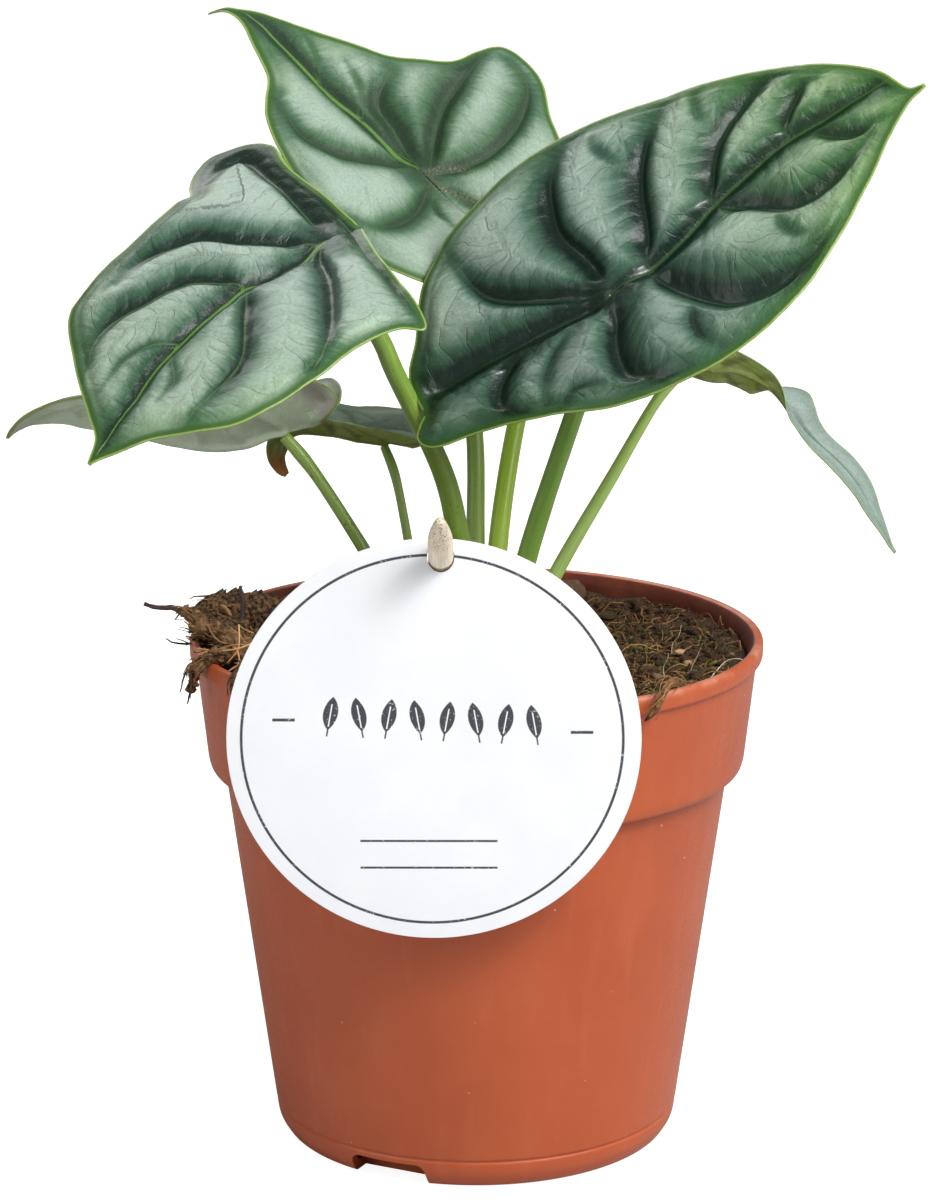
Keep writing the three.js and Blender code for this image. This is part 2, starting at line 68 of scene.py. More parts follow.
# The dark bands are dark green with painted shade in them, which makes them wider on one side.
# Leaves, in mm and degrees. node: where the blade joins its stalk. heading, rise and droop: the
# way its midrib sets off, and how far it bends down by its tip and by its back. course: the
# midrib's line from the side, [ahead, up], where that is known. roll and folds: at back, joint
# and tip, eased between the shares in twist. pinch: middle, reach and angle of a tighter fold.
# cup: how far each half curls over its width. sway: how far tip and back drift sideways.
# left and right: outline as [along the midrib, across]. Where a right one isn't given, it is
# like the left.
# grid: ribs and columns of the mesh. line: how clear the midrib's and the veins' lines are.
# Each vein: depth of its crease, width of the dark band on its left and right, and its course.
# ribs: pairs and depth of plain veins, for a leaf without drawn ones. The rest are amounts.
LEAVES = {
    "front_right": {
        "node": (28.5, -22, 183.5), "heading": 3, "rise": 37, "droop": (12, -5),
        "roll": (38, 38, 34), "fold_left": (12, 12, 6), "fold_right": (12, 16, 6),
        "cup": (-16, -24), "tip": 72, "back": 46, "wide": 40, "sway": (6, 8),
        "left": [[74, 0], [71.8, 0.5], [69.6, 2], [66.5, 9.5], [60, 17], [46, 27.5], [32, 33.5],
            [18, 38.5], [6, 41.5], [-7, 41.5], [-21, 36.5], [-31, 28], [-38, 17.5], [-44, 9],
            [-46, 0]],
        "right": [[74, 0], [71.8, -0.5], [69.2, -1.5], [66, -4], [61, -8.5], [52, -16.5],
            [42, -23.5], [31, -29.5], [18, -32.5], [4, -32], [-13, -26.5], [-26, -18.5],
            [-38, -13], [-48, -11], [-50, -6], [-46, 0]],
        "grid": (210, 158), "line": (0.25, 0.1), "seed": 1, "fresh": 0.8,
        # Painted shade on the lower back of the blade.
        "painted_shade": 0.26,
        "veins": [
            (2.2, 3.2, 4, [[-3, 0], [7, 0.5], [16.5, 1.8], [24.6, 4.2], [34.6, 6], [44, 7.4],
                [54.2, 7], [65.9, 6.3], [71, 4.5]]),
            (2.2, 1.5, 5, [[-1, 1], [-7.5, 5.2], [-15.6, 11.2], [-21.1, 16.5], [-23.1, 22.1],
                [-23.3, 29.8]]),
            (3, 5, 3, [[-1, 3], [-1.7, 12.1], [-3.1, 20.6], [-1.6, 27.9], [1.2, 33.3],
                [5.4, 37.2], [9.1, 38.2]]),
            (3, 5, 2.5, [[8.3, 2.8], [11.8, 10.1], [14.7, 17.7], [17.9, 23.7], [23.1, 29.1],
                [27.5, 32.1]]),
            (2.6, 4.5, 2, [[25, 4.9], [28.5, 11.1], [32.7, 17], [38.3, 20.8], [44.7, 23.1],
                [51.4, 22.5]]),
            (1.8, 3, 1.5, [[44.3, 8.1], [46.7, 12.5], [51.2, 16.3], [55, 16.3]]),
            (0.7, 2, 1, [[54.1, 7.8], [55.1, 10], [57, 12.3]]),
            (2.8, 5.5, 1.5, [[-1, -1], [-5.1, -7.1], [-7.6, -14.7], [-7.5, -21.5], [-2, -28.3]]),
            (3, 6, 1.5, [[7, -0.5], [11, -10.8], [14.7, -17.7], [18.5, -21.8], [25.4, -24.3],
                [33.5, -24.8], [39, -23.5]]),
            (2.4, 5, 1.5, [[25, 4], [32.1, -2], [37.1, -8], [42.9, -9.8], [51, -8.1],
                [58.7, -4.7]]),
            (1.8, 3.5, 1, [[48, 6], [53, 1], [57, -1.5], [62, -2.8]]),
            (3, 5, 5.5, [[-1, 0], [-12, 2.6], [-26, 4.4], [-37.5, 4.4], [-44.5, 3.6], [-55, 2],
                [-66, 1]]),
            (2, 3.5, 1.5, [[-22.7, 1], [-28.1, -0.7], [-32.4, -7.7], [-30.8, -14.5]]),
            (0.9, 1.2, 1, [[-11.5, -2], [-17, -5.1], [-21.2, -9.7], [-24.5, -16.2]]),
            (0.8, 1, 1, [[-13, -20], [-17.5, -17.5], [-21, -19]]),
            (0.9, 2.5, 1, [[11.3, -17.5], [9.1, -21], [8.6, -25.6], [11.1, -30.1]]),
            (0.85, 2.5, 1, [[35.1, -9.9], [34.3, -12.7], [35.7, -16.9], [38.6, -18.7]]),
            (0.75, 2.5, 1, [[12.3, 35.1], [11.9, 32.1], [13.3, 27.3], [15.4, 22.8]]),
            (0.75, 2.5, 1, [[34, 31.6], [32.3, 27.9], [31.9, 23.9], [33, 20.2]]),
        ],
    },
    "front_left": {
        "node": (-30, -20, 192.5), "heading": 226, "rise": -12, "droop": (28, 14),
        "roll": (-15, -15, -10), "fold_left": (12, 12, 4),
        "cup": (-22, -22), "tip": 75, "back": 20, "wide": 36, "sway": (4, 0),
        "left": [[76.5, 0], [74.5, 0.8], [69, 6.5], [65, 11], [57, 22], [47.5, 27], [35, 30],
            [23.5, 30.5], [15, 33], [10.5, 36.5], [6, 30], [0, 17], [-4, 9], [-10, 0]],
        "right": [[76.5, 0], [74.5, -0.5], [70, -2], [66, -6.5], [57, -17], [46, -28],
            [36, -30.5], [21, -30.5], [10, -32], [7, -31.5], [4, -35], [-2, -40], [-11, -43],
            [-19, -40], [-21, -33], [-15, -23], [-10, 0]],
        "grid": (176, 146), "line": (1.0, 0.4), "seed": 2, "fresh": 0.25, "contrast": 1.1,
        "veins": [
            (1.6, 2.5, 3, [[0, 0], [9.2, 1.6], [17.2, 0.9], [22.3, -1.2], [28.5, -1],
                [36.2, -1.1], [43, -1.2], [50.6, -1.1], [58.8, 0], [66.3, 0.3], [73.5, 0.3]]),
            (1.8, 1.5, 9, [[-2, -2], [-6.6, -15], [-10.8, -27.3], [-13, -35], [-8, -37],
                [-2, -35], [5, -31.5]]),
            (1.8, 1.2, 4, [[2.8, -0.7], [8.1, -6.7], [12.9, -12.3], [16.8, -19], [22.3, -22],
                [28.3, -23.8], [35.6, -24]]),
            (1.6, 1.2, 3.5, [[21.8, -2], [26.8, -9.5], [30.7, -12.7], [36.8, -15.1],
                [42.9, -17.5], [49.3, -17.6], [55, -15]]),
            (0.7, 1, 1.5, [[42, -1.2], [46, -5], [52, -7.5], [60, -7.5]]),
            (1.6, 1.2, 3, [[1, 1], [5.5, 3.6], [11, 11.4], [17.6, 18.1], [24.4, 23.7],
                [30.5, 26.9], [35, 28]]),
            (1.5, 3, 1.5, [[23.5, 0.4], [32, 7.5], [40, 13.4], [48, 15], [58, 14.5]]),
            (0.8, 1.2, 1.2, [[45.3, -1], [48, 1.4], [52.5, 5.8], [58, 6.1]]),
            (1, 2, 2, [[-8.4, -4.6], [-4.9, 6], [4.1, 22.8], [10.6, 37.2]]),
        ],
    },
    "back": {
        "node": (-11.5, 32, 198.5), "heading": 152, "rise": 37, "droop": (9, 0),
        "course": [[0, 0], [7.5, 5.6], [15.1, 11], [21.2, 15.9], [27.3, 20.9], [33.4, 25.5],
            [39.1, 29.2], [44.5, 31.9], [48.5, 32.8], [53.1, 31.9]],
        "roll": (-26, -26, -20), "fold_left": (22, 22, 4), "fold_right": (14, 14, 4),
        "cup": (-16, -20), "tip": 62, "back": 28, "wide": 40,
        "left": [[62, 0], [58.5, 0.5], [54, 0.8], [50.5, 2.2], [45, 6], [37, 10.5], [32, 16.5],
            [27, 21.5], [18, 27], [6, 31.5], [-8, 32.5], [-17, 30.5], [-25, 25], [-30, 15],
            [-29, 6], [-24, 0]],
        "right": [[62, 0], [58.5, -0.5], [55, -1.2], [51.5, -3.5], [47, -5.5], [41, -8.5],
            [28, -17], [21, -24], [17, -29], [16, -35], [14, -41], [8, -42], [2, -40], [-6, -34],
            [-15, -29], [-25, -24], [-31, -16], [-29, -6], [-24, 0]],
        "grid": (170, 140), "line": (1.0, 0.15), "seed": 3, "haze_and_painted_light": 0.06, "fresh": 0.4,
        "green": 1.0, "contrast": 1.1,
        "scars": [[[1, 0], [-3, 0.5], [-8, 1], [-14, 4]], [[-3, 0], [-9, -3], [-15, -7]],
            [[0, -1], [-2, -6], [-5, -9]]],
        "veins": [
            (1.8, 3, 3, [[0, 0], [8.7, -0.3], [18.1, -0.8], [27.3, 0.2], [37.6, -0.2], [47.9, -1],
                [56, -1.3]]),
            (1.6, 2.5, 2.5, [[2.5, -0.2], [7, 6.1], [10.6, 12.4], [15.7, 16.3], [20.7, 17.7],
                [26.4, 16.4], [31, 15.5]]),
            (1.4, 2.5, 2.5, [[-2.5, 0.9], [-6.9, 10.5], [-7.9, 19], [-6.3, 25.5], [-2.2, 29]]),
            (1, 1.5, 1.5, [[-4, 2], [-8.9, 6.4], [-13.8, 7.3]]),
            (1, 1.5, 1.5, [[-2, -1], [-6.8, -2.3], [-11.8, -3.1], [-18, -4]]),
            (2.5, 4, 4, [[0, 0], [12, -4.5], [19.7, -7.1], [23.5, -14.6]]),
            (2.2, 4, 2, [[-0.9, -0.8], [5.5, -9.7], [9.5, -16.9], [11.5, -24.5], [14.3, -36]]),
            (1.6, 4, 1.5, [[-0.9, -0.8], [-4.3, -9.7], [-5.3, -16.1], [-3.9, -25], [-0.2, -32.8],
                [3.7, -36.5], [9.6, -38.4]]),
            (0.8, 1, 1, [[18, -0.8], [24, -6], [31, -8]]),
            (0.7, 1, 1, [[30, 0], [36, -4], [42, -6]]),
        ],
    },
    "left_side": {
        "node": (-40, 6, 148.5), "heading": 180, "rise": -11, "droop": (-46, 36),
        "course": [[0, 0], [3.1, -0.6], [8.3, -2.3], [14.6, -3], [19.8, -2.3], [25, -1.3],
            [32.2, 0.6], [40.5, 2.1], [46.8, 3], [52.6, 2.3], [56, 0.8], [57.9, -1.1]],
        "fold_left": (46, 46, 40), "fold_right": (24, 24, 30),
        "cup": (20, -20), "tip": 60, "back": 16, "wide": 24,
        "left": [[60, 0], [59.3, 0.7], [54, 3.6], [48, 7], [40, 12], [32, 16.5], [22, 20],
            [8, 22.5], [0, 22.5], [-7, 21], [-13, 15.5], [-15.5, 8], [-14, 2], [-8, 0]],
        "grid": (120, 90), "line": (0.6, 0.3), "seed": 4, "ribs": (6, 1.0), "purple": 1,
        "contrast": 0.4,
    },
    "small_drooping": {
        "node": (-19.5, 18, 144), "heading": 182, "rise": 11, "droop": (34, 26),
        "course": [[0, 0], [5.1, 1], [9.4, 2.1], [14.6, 3], [18.6, 2.8], [21.4, 0.9],
            [22.5, -2.2], [21.9, -4.8], [20.4, -6.7]],
        "roll": (0, 0, 48), "twist": (0.5, 0.82), "fold_left": (26, 26, 10),
        "fold_right": (36, 36, 10),
        "cup": (-10, -24), "tip": 31, "back": 15, "wide": 15,
        "left": [[31, 0], [30, 0.7], [27, 1.8], [24, 3.2], [20, 5], [16, 7.5], [12, 10],
            [6, 12.5], [0, 13], [-7, 12], [-13, 8.5], [-15, 4.5], [-13.5, 1.5], [-8, 0]],
        "grid": (96, 76), "line": (0.5, 0.3), "seed": 5, "ribs": (5, 0.8), "wither": 1,
        # Its haze is painted light, which lifts the blade where the leaf above shades it.
        "wave": 1.5, "contrast": 0.5, "haze_and_painted_light": 0.3, "margin": 0.3,
    },
    "twisted_right": {
        "node": (44, 8, 163), "heading": 0, "rise": -14, "droop": (56, 20),
        "course": [[0, 0], [5, -1.2], [9.3, -1.2], [14.2, -2.9], [18.2, -5.9], [21.2, -10.1],
            [24.4, -14], [27.8, -17.2], [32, -21.2], [35.9, -26.2], [39, -31.5], [41.2, -35.4],
            [42.9, -38.6], [44.2, -40.4]],
        "roll": (-46, -46, 46), "twist": (0.25, 0.42), "pinch": (27, 7, 20),
        "fold_left": (10, 10, 8), "fold_right": (14, 14, 10),
        "cup": (-10, -10), "tip": 63, "back": 14, "wide": 14,
        "left": [[63.2, 0], [61, 0.3], [58, 0.8], [54, 1.9], [48, 3.3], [42, 3.5], [36, 3],
            [31, 3.6], [27, 5], [23, 6.4], [19, 6.8], [14, 6.2], [8, 5], [-3, 4.4], [-10, 5],
            [-13, 3], [-12, 1.5], [-7, 0]],
        "right": [[63.2, 0], [61, -0.3], [57, -0.8], [52, -1.6], [46, -2.3], [38, -2.4],
            [30, -2.4], [24, -2.6], [18, -3.2], [12, -4.6], [8, -6], [4, -7.4], [-3, -8.5],
            [-10, -7], [-13, -4], [-12, -1.5], [-7, 0]],
        "grid": (150, 76), "line": (0.3, 0.15), "seed": 6, "ribs": (7, 0.35), "contrast": 0.3,
        "haze_and_painted_light": 0.85, "margin": 0.25, "fresh": 0.1,
    },
    "hidden_back": {
        "node": (14.5, 30, 163.5), "heading": 70, "rise": 14, "droop": (34, 10),
        "fold_left": (14, 14, 8),
        "cup": (-16, -16), "tip": 44, "back": 14, "wide": 16,
        "left": [[44, 0], [39, 2], [31, 6], [21, 10.5], [10, 13.5], [0, 14], [-7, 13], [-12, 9.5],
            [-14, 5], [-13, 2], [-8, 0]],
        "grid": (90, 66), "line": (0.6, 0.3), "seed": 7, "ribs": (6, 1.1),
    },
}

# Stalks: course from the soil to the leaf, radius at each end, flecks, colour low and high
STALKS = {
    "front_left": {
        "path": [[-1.5, -4, 100], [-2, -6, 118], [-4, -9, 132], [-7.3, -11, 145.4],
            [-16.3, -16, 165.6], [-19.3, -17, 172.9], [-25.5, -19, 184], [-30, -20, 192]],
        "radii": (2.6, 1.7), "flecks": 0.4,
        "low": (0.23, 0.37, 0.05), "high": (0.17, 0.29, 0.035),
    },
    "front_right": {
        "path": [[5.5, -3.5, 100], [10.4, -8, 125.6], [20, -15, 158], [28, -21.5, 183]],
        "radii": (2.3, 1.75), "flecks": 0.1,
        "low": (0.26, 0.46, 0.08), "high": (0.19, 0.37, 0.05),
    },
    "back": {
        "path": [[0, 4, 100], [-0.2, 12, 124], [-0.7, 20, 148.5], [-6, 28, 173],
            [-11.5, 32, 198]],
        "radii": (2.1, 1.55), "flecks": 0.3,
        "low": (0.27, 0.4, 0.08), "high": (0.22, 0.35, 0.06),
    },
    "hidden_back": {
        "path": [[4, 5, 100], [4.5, 11, 123.5], [8.8, 22, 149.5], [14.3, 30, 163]],
        "radii": (2.3, 1.8), "flecks": 0.1,
        "low": (0.42, 0.62, 0.06), "high": (0.36, 0.55, 0.045),
    },
    "twisted_right": {
        "path": [[7.5, 1, 100], [16.7, 3, 119.7], [27.9, 5, 139.2], [37.6, 7, 155.8],
            [43.7, 8, 162.6]],
        "radii": (1.75, 1.05), "flecks": 0.1,
        "low": (0.46, 0.64, 0.2), "high": (0.38, 0.56, 0.13),
    },
    "left_side": {
        "path": [[-12.5, 2, 96], [-15.5, 2, 111], [-23.5, 2, 125], [-33.5, 4, 140.5],
            [-40, 6, 148.2]],
        "radii": (1.55, 1.2), "flecks": 1.0,
        "low": (0.17, 0.26, 0.045), "high": (0.21, 0.32, 0.055),
    },
    "small_drooping": {
        "path": [[-10.5, 7, 96], [-12, 8, 110], [-14.5, 10, 125.5], [-17, 14, 137.5],
            [-19.5, 18, 143.5]],
        "radii": (1.05, 0.9), "flecks": 0.6,
        "low": (0.26, 0.38, 0.07), "high": (0.31, 0.44, 0.1),
    },
}


# Number tools

def smoothstep(value, low=0.0, high=1.0):
    """Eases from 0 at low to 1 at high."""
    share = np.clip((np.asarray(value, float) - low) / (high - low), 0, 1)
    return share * share * (3 - 2 * share)


def smooth_line(points, steps):
    """A smooth line through the points, with so many points in all."""
    given = np.asarray(points, float)
    last = len(given) - 1
    where = np.linspace(0, last, steps)
    span = np.minimum(where.astype(int), last - 1)
    t = (where - span)[:, None]
    p0 = given[np.maximum(span - 1, 0)]
    p1 = given[span]
    p2 = given[span + 1]
    p3 = given[np.minimum(span + 2, last)]
    square = 2 * p0 - 5 * p1 + 4 * p2 - p3
    cube = 3 * p1 - p0 - 3 * p2 + p3
    return (2 * p1 + (p2 - p0) * t + square * t**2 + cube * t**3) / 2


def line_lengths(line):
    """The run along the line at each of its points."""
    steps = np.linalg.norm(np.diff(line, axis=0), axis=1)
    return np.concatenate([[0], np.cumsum(steps)])


def even_line(points, shares):
    """Points of the smooth line at the given shares of its length."""
    fine = smooth_line(points, 40 * len(points))
    lengths = line_lengths(fine)
    wanted = np.asarray(shares) * lengths[-1]
    return np.stack([np.interp(wanted, lengths, fine[:, k]) for k in range(fine.shape[1])], 1)


def nearest_on(line, points, at_once=4000):
    """For each point: distance to the line, run along it, and +1 where it lies to its left."""
    if len(points) > at_once:
        first = nearest_on(line, points[:at_once])
        rest = nearest_on(line, points[at_once:])
        return tuple(np.concatenate(pair) for pair in zip(first, rest))
    start = line[:-1]
    step = line[1:] - start
    from_start = points[:, None] - start[None]
    t = np.clip((from_start * step).sum(2) / (step**2).sum(1), 0, 1)
    away = from_start - t[..., None] * step
    squares = (away**2).sum(2)
    best = squares.argmin(1)
    row = np.arange(len(points))
    lengths = line_lengths(line)
    run = lengths[best] + t[row, best] * (lengths[best + 1] - lengths[best])
    turn = step[best, 0] * away[row, best, 1] - step[best, 1] * away[row, best, 0]
    return np.sqrt(squares[row, best]), run, np.where(turn >= 0, 1, -1)


def ring_angles(sides):
    return np.linspace(0, 2 * math.pi, sides, endpoint=False)


def lumps(points, scale, seed=0.0, octaves=3):
    """Soft noise at each point, about -1 to 1."""
    offset = Vector((seed, seed * 0.7, -seed))
    where = np.asarray(points, float) * scale
    if where.shape[1] == 2:
        where = np.column_stack([where, np.zeros(len(where))])
    return np.array([noise.fractal(Vector(p) + offset, 1.0, 2.0, octaves) for p in where])


# Mesh tools

def new_mesh(name, points, faces):
    """A mesh in metres from points in mm."""
    mesh = bpy.data.meshes.new(name)
    mesh.from_pydata((np.asarray(points, float) * MM).tolist(), [], faces)
    return mesh


def put(name, data):
    """A new object in the scene."""
    made = bpy.data.objects.new(name, data)
    scene.collection.objects.link(made)
    return made


def make_piece(name, shape, materials, nodes=(), face_material=None, sharp=None):
    """A piece of the object, from a shape's points in mm and faces."""
    mesh = new_mesh(name, *shape)
    for material in materials:
        mesh.materials.append(material)
    if face_material is not None:
        mesh.polygons.foreach_set("material_index", np.asarray(face_material, np.int32))
    piece = put(name, mesh)
    smooth(piece, sharp)
    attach(piece, "root")
    if nodes:
        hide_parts(*nodes)
    return piece


def smooth(piece, sharp=None):
    mesh = piece.data
    mesh.polygons.foreach_set("use_smooth", np.ones(len(mesh.polygons), bool))
    if sharp is not None:
        mesh.set_sharp_from_angle(angle=math.radians(sharp))
    mesh.update()


def give(piece, name, *columns):
    """Stores up to three numbers at each vertex, which materials read by name."""
    values = np.zeros((len(piece.data.vertices), 3), np.float32)
    for index, column in enumerate(columns):
        values[:, index] = column
    made = piece.data.attributes.new(name, "FLOAT_VECTOR", "POINT")
    made.data.foreach_set("vector", values.ravel())


def grid_faces(rows, columns, closed=False):
    """Quads of a grid of points; closed joins the last column to the first."""
    faces = []
    for row in range(rows - 1):
        for column in range(columns if closed else columns - 1):
            following = (column + 1) % columns
            low = row * columns
            high = low + columns
            faces.append((low + column, low + following, high + following, high + column))
    return faces


def turned(profile, sides):
    """An outline of (radius, z), from the axis to the axis, turned about +Z."""
    outline = np.asarray(profile, float)
    ring = outline[1:-1]
    angle = ring_angles(sides)
    x = ring[:, 0, None] * np.cos(angle)
    y = ring[:, 0, None] * np.sin(angle)
    z = np.repeat(ring[:, 1, None], sides, 1)
    points = np.stack([x, y, z], 2).reshape(-1, 3)
    points = np.vstack([points, [[0, 0, outline[0, 1]], [0, 0, outline[-1, 1]]]])
    faces = grid_faces(len(ring), sides, closed=True)
    first = len(points) - 2
    top_row = (len(ring) - 1) * sides
    for k in range(sides):
        following = (k + 1) % sides
        faces.append((first, following, k))
        faces.append((first + 1, top_row + k, top_row + following))
    return points, faces


def rounded(outline, steps=5):
    """An outline of (radius, z, corner size) with its corners turned into curves."""
    made = []
    for index, (radius, z, corner) in enumerate(outline):
        here = np.array([radius, z], float)
        if corner == 0 or index in (0, len(outline) - 1):
            made.append(here)
            continue
        before = np.array(outline[index - 1][:2], float)
        after = np.array(outline[index + 1][:2], float)
        enter = here + (before - here) * min(0.48, corner / np.linalg.norm(before - here))
        leave = here + (after - here) * min(0.48, corner / np.linalg.norm(after - here))
        for t in np.linspace(0, 1, steps + 1):
            made.append((1 - t) ** 2 * enter + 2 * t * (1 - t) * here + t**2 * leave)
    return np.array(made)


def tube(path, radii, sides, squash=None):
    """A closed tube along a path, with a radius at each of its points."""
    line = np.asarray(path, float)
    ahead = np.gradient(line, axis=0)
    ahead /= np.linalg.norm(ahead, axis=1)[:, None]
    side = np.cross(ahead[0], [0.13, 0.31, 0.94])
    across = []
    for direction in ahead:
        side = side - direction * side.dot(direction)
        side = side / np.linalg.norm(side)
        across.append(side)
    across = np.array(across)
    over = np.cross(ahead, across)
    angle = ring_angles(sides)
    reach = np.broadcast_to(np.asarray(radii, float).reshape(-1, 1), (len(line), sides))
    if squash is not None:
        reach = reach * squash
    around = across[:, None] * np.cos(angle)[:, None] + over[:, None] * np.sin(angle)[:, None]
    points = (line[:, None] + around * reach[..., None]).reshape(-1, 3)
    faces = grid_faces(len(line), sides, closed=True)
    faces.append(tuple(reversed(range(sides))))
    faces.append(tuple(range(len(points) - sides, len(points))))
    return points, faces


class Bundle:
    """Gathers closed shapes into one, each with a material number and a tone."""

    def __init__(self):
        self.points = []
        self.faces = []
        self.materials = []
        self.tones = []
        self.count = 0

    def add(self, shape, material=0, tone=0.5):
        points, faces = shape
        self.points.append(points)
        self.faces.extend([tuple(i + self.count for i in face) for face in faces])
        self.materials.extend([material] * len(faces))
        self.tones.append(np.full(len(points), tone))
        self.count += len(points)

    def piece(self, name, slot, materials, nodes=()):
        shape = (np.vstack(self.points), self.faces)
        made = make_piece(name, shape, materials, nodes, self.materials)
        give(made, "tone", np.concatenate(self.tones))
        return made


def cut_out(piece, shapes):
    """Cuts closed shapes out of a piece."""
    cutters = []
    for index, shape in enumerate(shapes):
        cutter = put(f"cutter_{index}", new_mesh(f"cutter_{index}", *shape))
        modifier = piece.modifiers.new(f"cut_{index}", "BOOLEAN")
        modifier.operation = "DIFFERENCE"
        modifier.solver = "EXACT"
        modifier.object = cutter
        cutters.append(cutter)
    bpy.context.view_layer.update()
    shown = piece.evaluated_get(bpy.context.evaluated_depsgraph_get())
    mesh = bpy.data.meshes.new_from_object(shown)
    piece.modifiers.clear()
    piece.data = mesh
    for cutter in cutters:
        bpy.data.objects.remove(cutter)


# Material tools

class Value:
    """What a node gives, for plain sums."""

    def __init__(self, bench, socket):
        self.bench = bench
        self.socket = socket

    def __add__(self, other):
        return self.bench.math("ADD", self, other)

    def __sub__(self, other):
        return self.bench.math("SUBTRACT", self, other)

    def __rsub__(self, other):
        return self.bench.math("SUBTRACT", other, self)

    def __mul__(self, other):
        return self.bench.math("MULTIPLY", self, other)

    def __truediv__(self, other):
        return self.bench.math("DIVIDE", self, other)

    def __abs__(self):
        return self.bench.math("ABSOLUTE", self)


class Bench:
    """Adds nodes to one tree and joins them."""

    def __init__(self, tree):
        self.tree = tree

    def add(self, kind, feeds=None, **settings):
        made = self.tree.nodes.new("ShaderNode" + kind)
        for key, value in settings.items():
            setattr(made, key, value)
        for socket, value in (feeds or {}).items():
            self.feed(made.inputs[socket], value)
        return made

    def result(self, output, kind, feeds=None, **settings):
        """One output of a new node."""
        return Value(self, self.add(kind, feeds, **settings).outputs[output])

    def feed(self, socket, value):
        if isinstance(value, Value):
            value = value.socket
        if isinstance(value, bpy.types.NodeSocket):
            self.tree.links.new(value, socket)
        elif isinstance(value, tuple) and len(value) == 3 and len(socket.default_value) == 4:
            socket.default_value = (*value, 1)
        else:
            socket.default_value = value

    def math(self, operation, a, b=0.0, clamp=False):
        return self.result(0, "Math", {0: a, 1: b}, operation=operation, use_clamp=clamp)

    def fade(self, value, low, high, to_low=0.0, to_high=1.0):
        """Eases from to_low at low to to_high at high."""
        if low > high:
            low, high, to_low, to_high = high, low, to_high, to_low
        feeds = {0: value, 1: low, 2: high, 3: to_low, 4: to_high}
        return self.result(0, "MapRange", feeds, interpolation_type="SMOOTHSTEP")

    def blend(self, share, first, second, kind="MIX"):
        feeds = {0: share, 6: first, 7: second}
        return self.result(2, "Mix", feeds, data_type="RGBA", blend_type=kind)

    def brighten(self, colour, amount):
        """A colour times a number."""
        return self.blend(1.0, colour, self.vector(amount, amount, amount), "MULTIPLY")

    def coats(self, colour, *layers):
        """Lays each (mask, colour) over a colour, one after the other."""
        for mask, over in layers:
            colour = self.blend(mask, colour, over)
        return colour

    def mottle(self, cloud, low, high, first, second):
        """Two colours that a noise mixes."""
        return self.blend(self.fade(cloud, low, high), first, second)

    def line_of(self, value, half):
        """One along the smooth curves where a noise crosses its middle value."""
        return self.fade(abs(value - 0.5), half, 0.0)

    def noise(self, where, scale, detail=3.0, roughness=0.55):
        feeds = {"Vector": where, "Scale": scale, "Detail": detail, "Roughness": roughness}
        return self.result("Fac", "TexNoise", feeds)

    def cells(self, where, scale):
        return self.result("Distance", "TexVoronoi", {"Vector": where, "Scale": scale})

    def stretch(self, where, x, y, z):
        return self.result(0, "VectorMath", {0: where, 1: (x, y, z)}, operation="MULTIPLY")

    def warp(self, where, scale, amount):
        """Moves coordinates about by a soft noise."""
        feeds = {"Vector": where, "Scale": scale, "Detail": 2.0}
        drift = {0: self.result("Color", "TexNoise", feeds), 1: (0.5, 0.5, 0.5)}
        even = self.result(0, "VectorMath", drift, operation="SUBTRACT")
        moved = self.stretch(even, amount, amount, amount)
        return self.result(0, "VectorMath", {0: where, 1: moved}, operation="ADD")

    def vector(self, x, y, z=0.0):
        return self.result(0, "CombineXYZ", {0: x, 1: y, 2: z})

    def parts(self, vector):
        return [Value(self, part) for part in self.add("SeparateXYZ", {0: vector}).outputs]

    def stored(self, name):
        return self.result("Vector", "Attribute", attribute_name=name)

    def place(self):
        """The place on the object, in mm."""
        return self.stretch(self.result("Object", "TexCoord"), 1000, 1000, 1000)

    def group(self, tree, feeds):
        made = self.tree.nodes.new("ShaderNodeGroup")
        made.node_tree = tree
        for name, value in feeds.items():
            self.feed(made.inputs[name], value)
        return made.outputs


def new_group(name, inputs, outputs):
    """A node group with named sockets: its tree, bench, inputs and output node's sockets."""
    tree = bpy.data.node_groups.new(name, "ShaderNodeTree")
    for way, sockets in (("INPUT", inputs), ("OUTPUT", outputs)):
        for socket, kind in sockets.items():
            tree.interface.new_socket(name=socket, in_out=way, socket_type="NodeSocket" + kind)
    given = tree.nodes.new("NodeGroupInput").outputs
    result = tree.nodes.new("NodeGroupOutput").inputs
    return tree, Bench(tree), given, result


class MaterialBench(Bench):
    """The bench of a new material, with its shader's even values set."""

    def __init__(self, name, **shader):
        self.material = bpy.data.materials.new(name)
        self.material.use_nodes = True
        super().__init__(self.material.node_tree)
        self.shader = self.tree.nodes["Principled BSDF"].inputs
        for socket, value in shader.items():
            self.shader[socket.replace("_", " ")].default_value = value

    def dress(self, colour, roughness, height=None):
        """Joins a colour, a roughness and a height in mm to the shader: the material."""
        self.feed(self.shader["Base Color"], colour)
        self.feed(self.shader["Roughness"], roughness)
        if height is not None:
            feeds = {"Strength": 1.0, "Distance": MM, "Height": height}
            self.feed(self.shader["Normal"], self.result(0, "Bump", feeds))
        return self.material


# Leaf materials

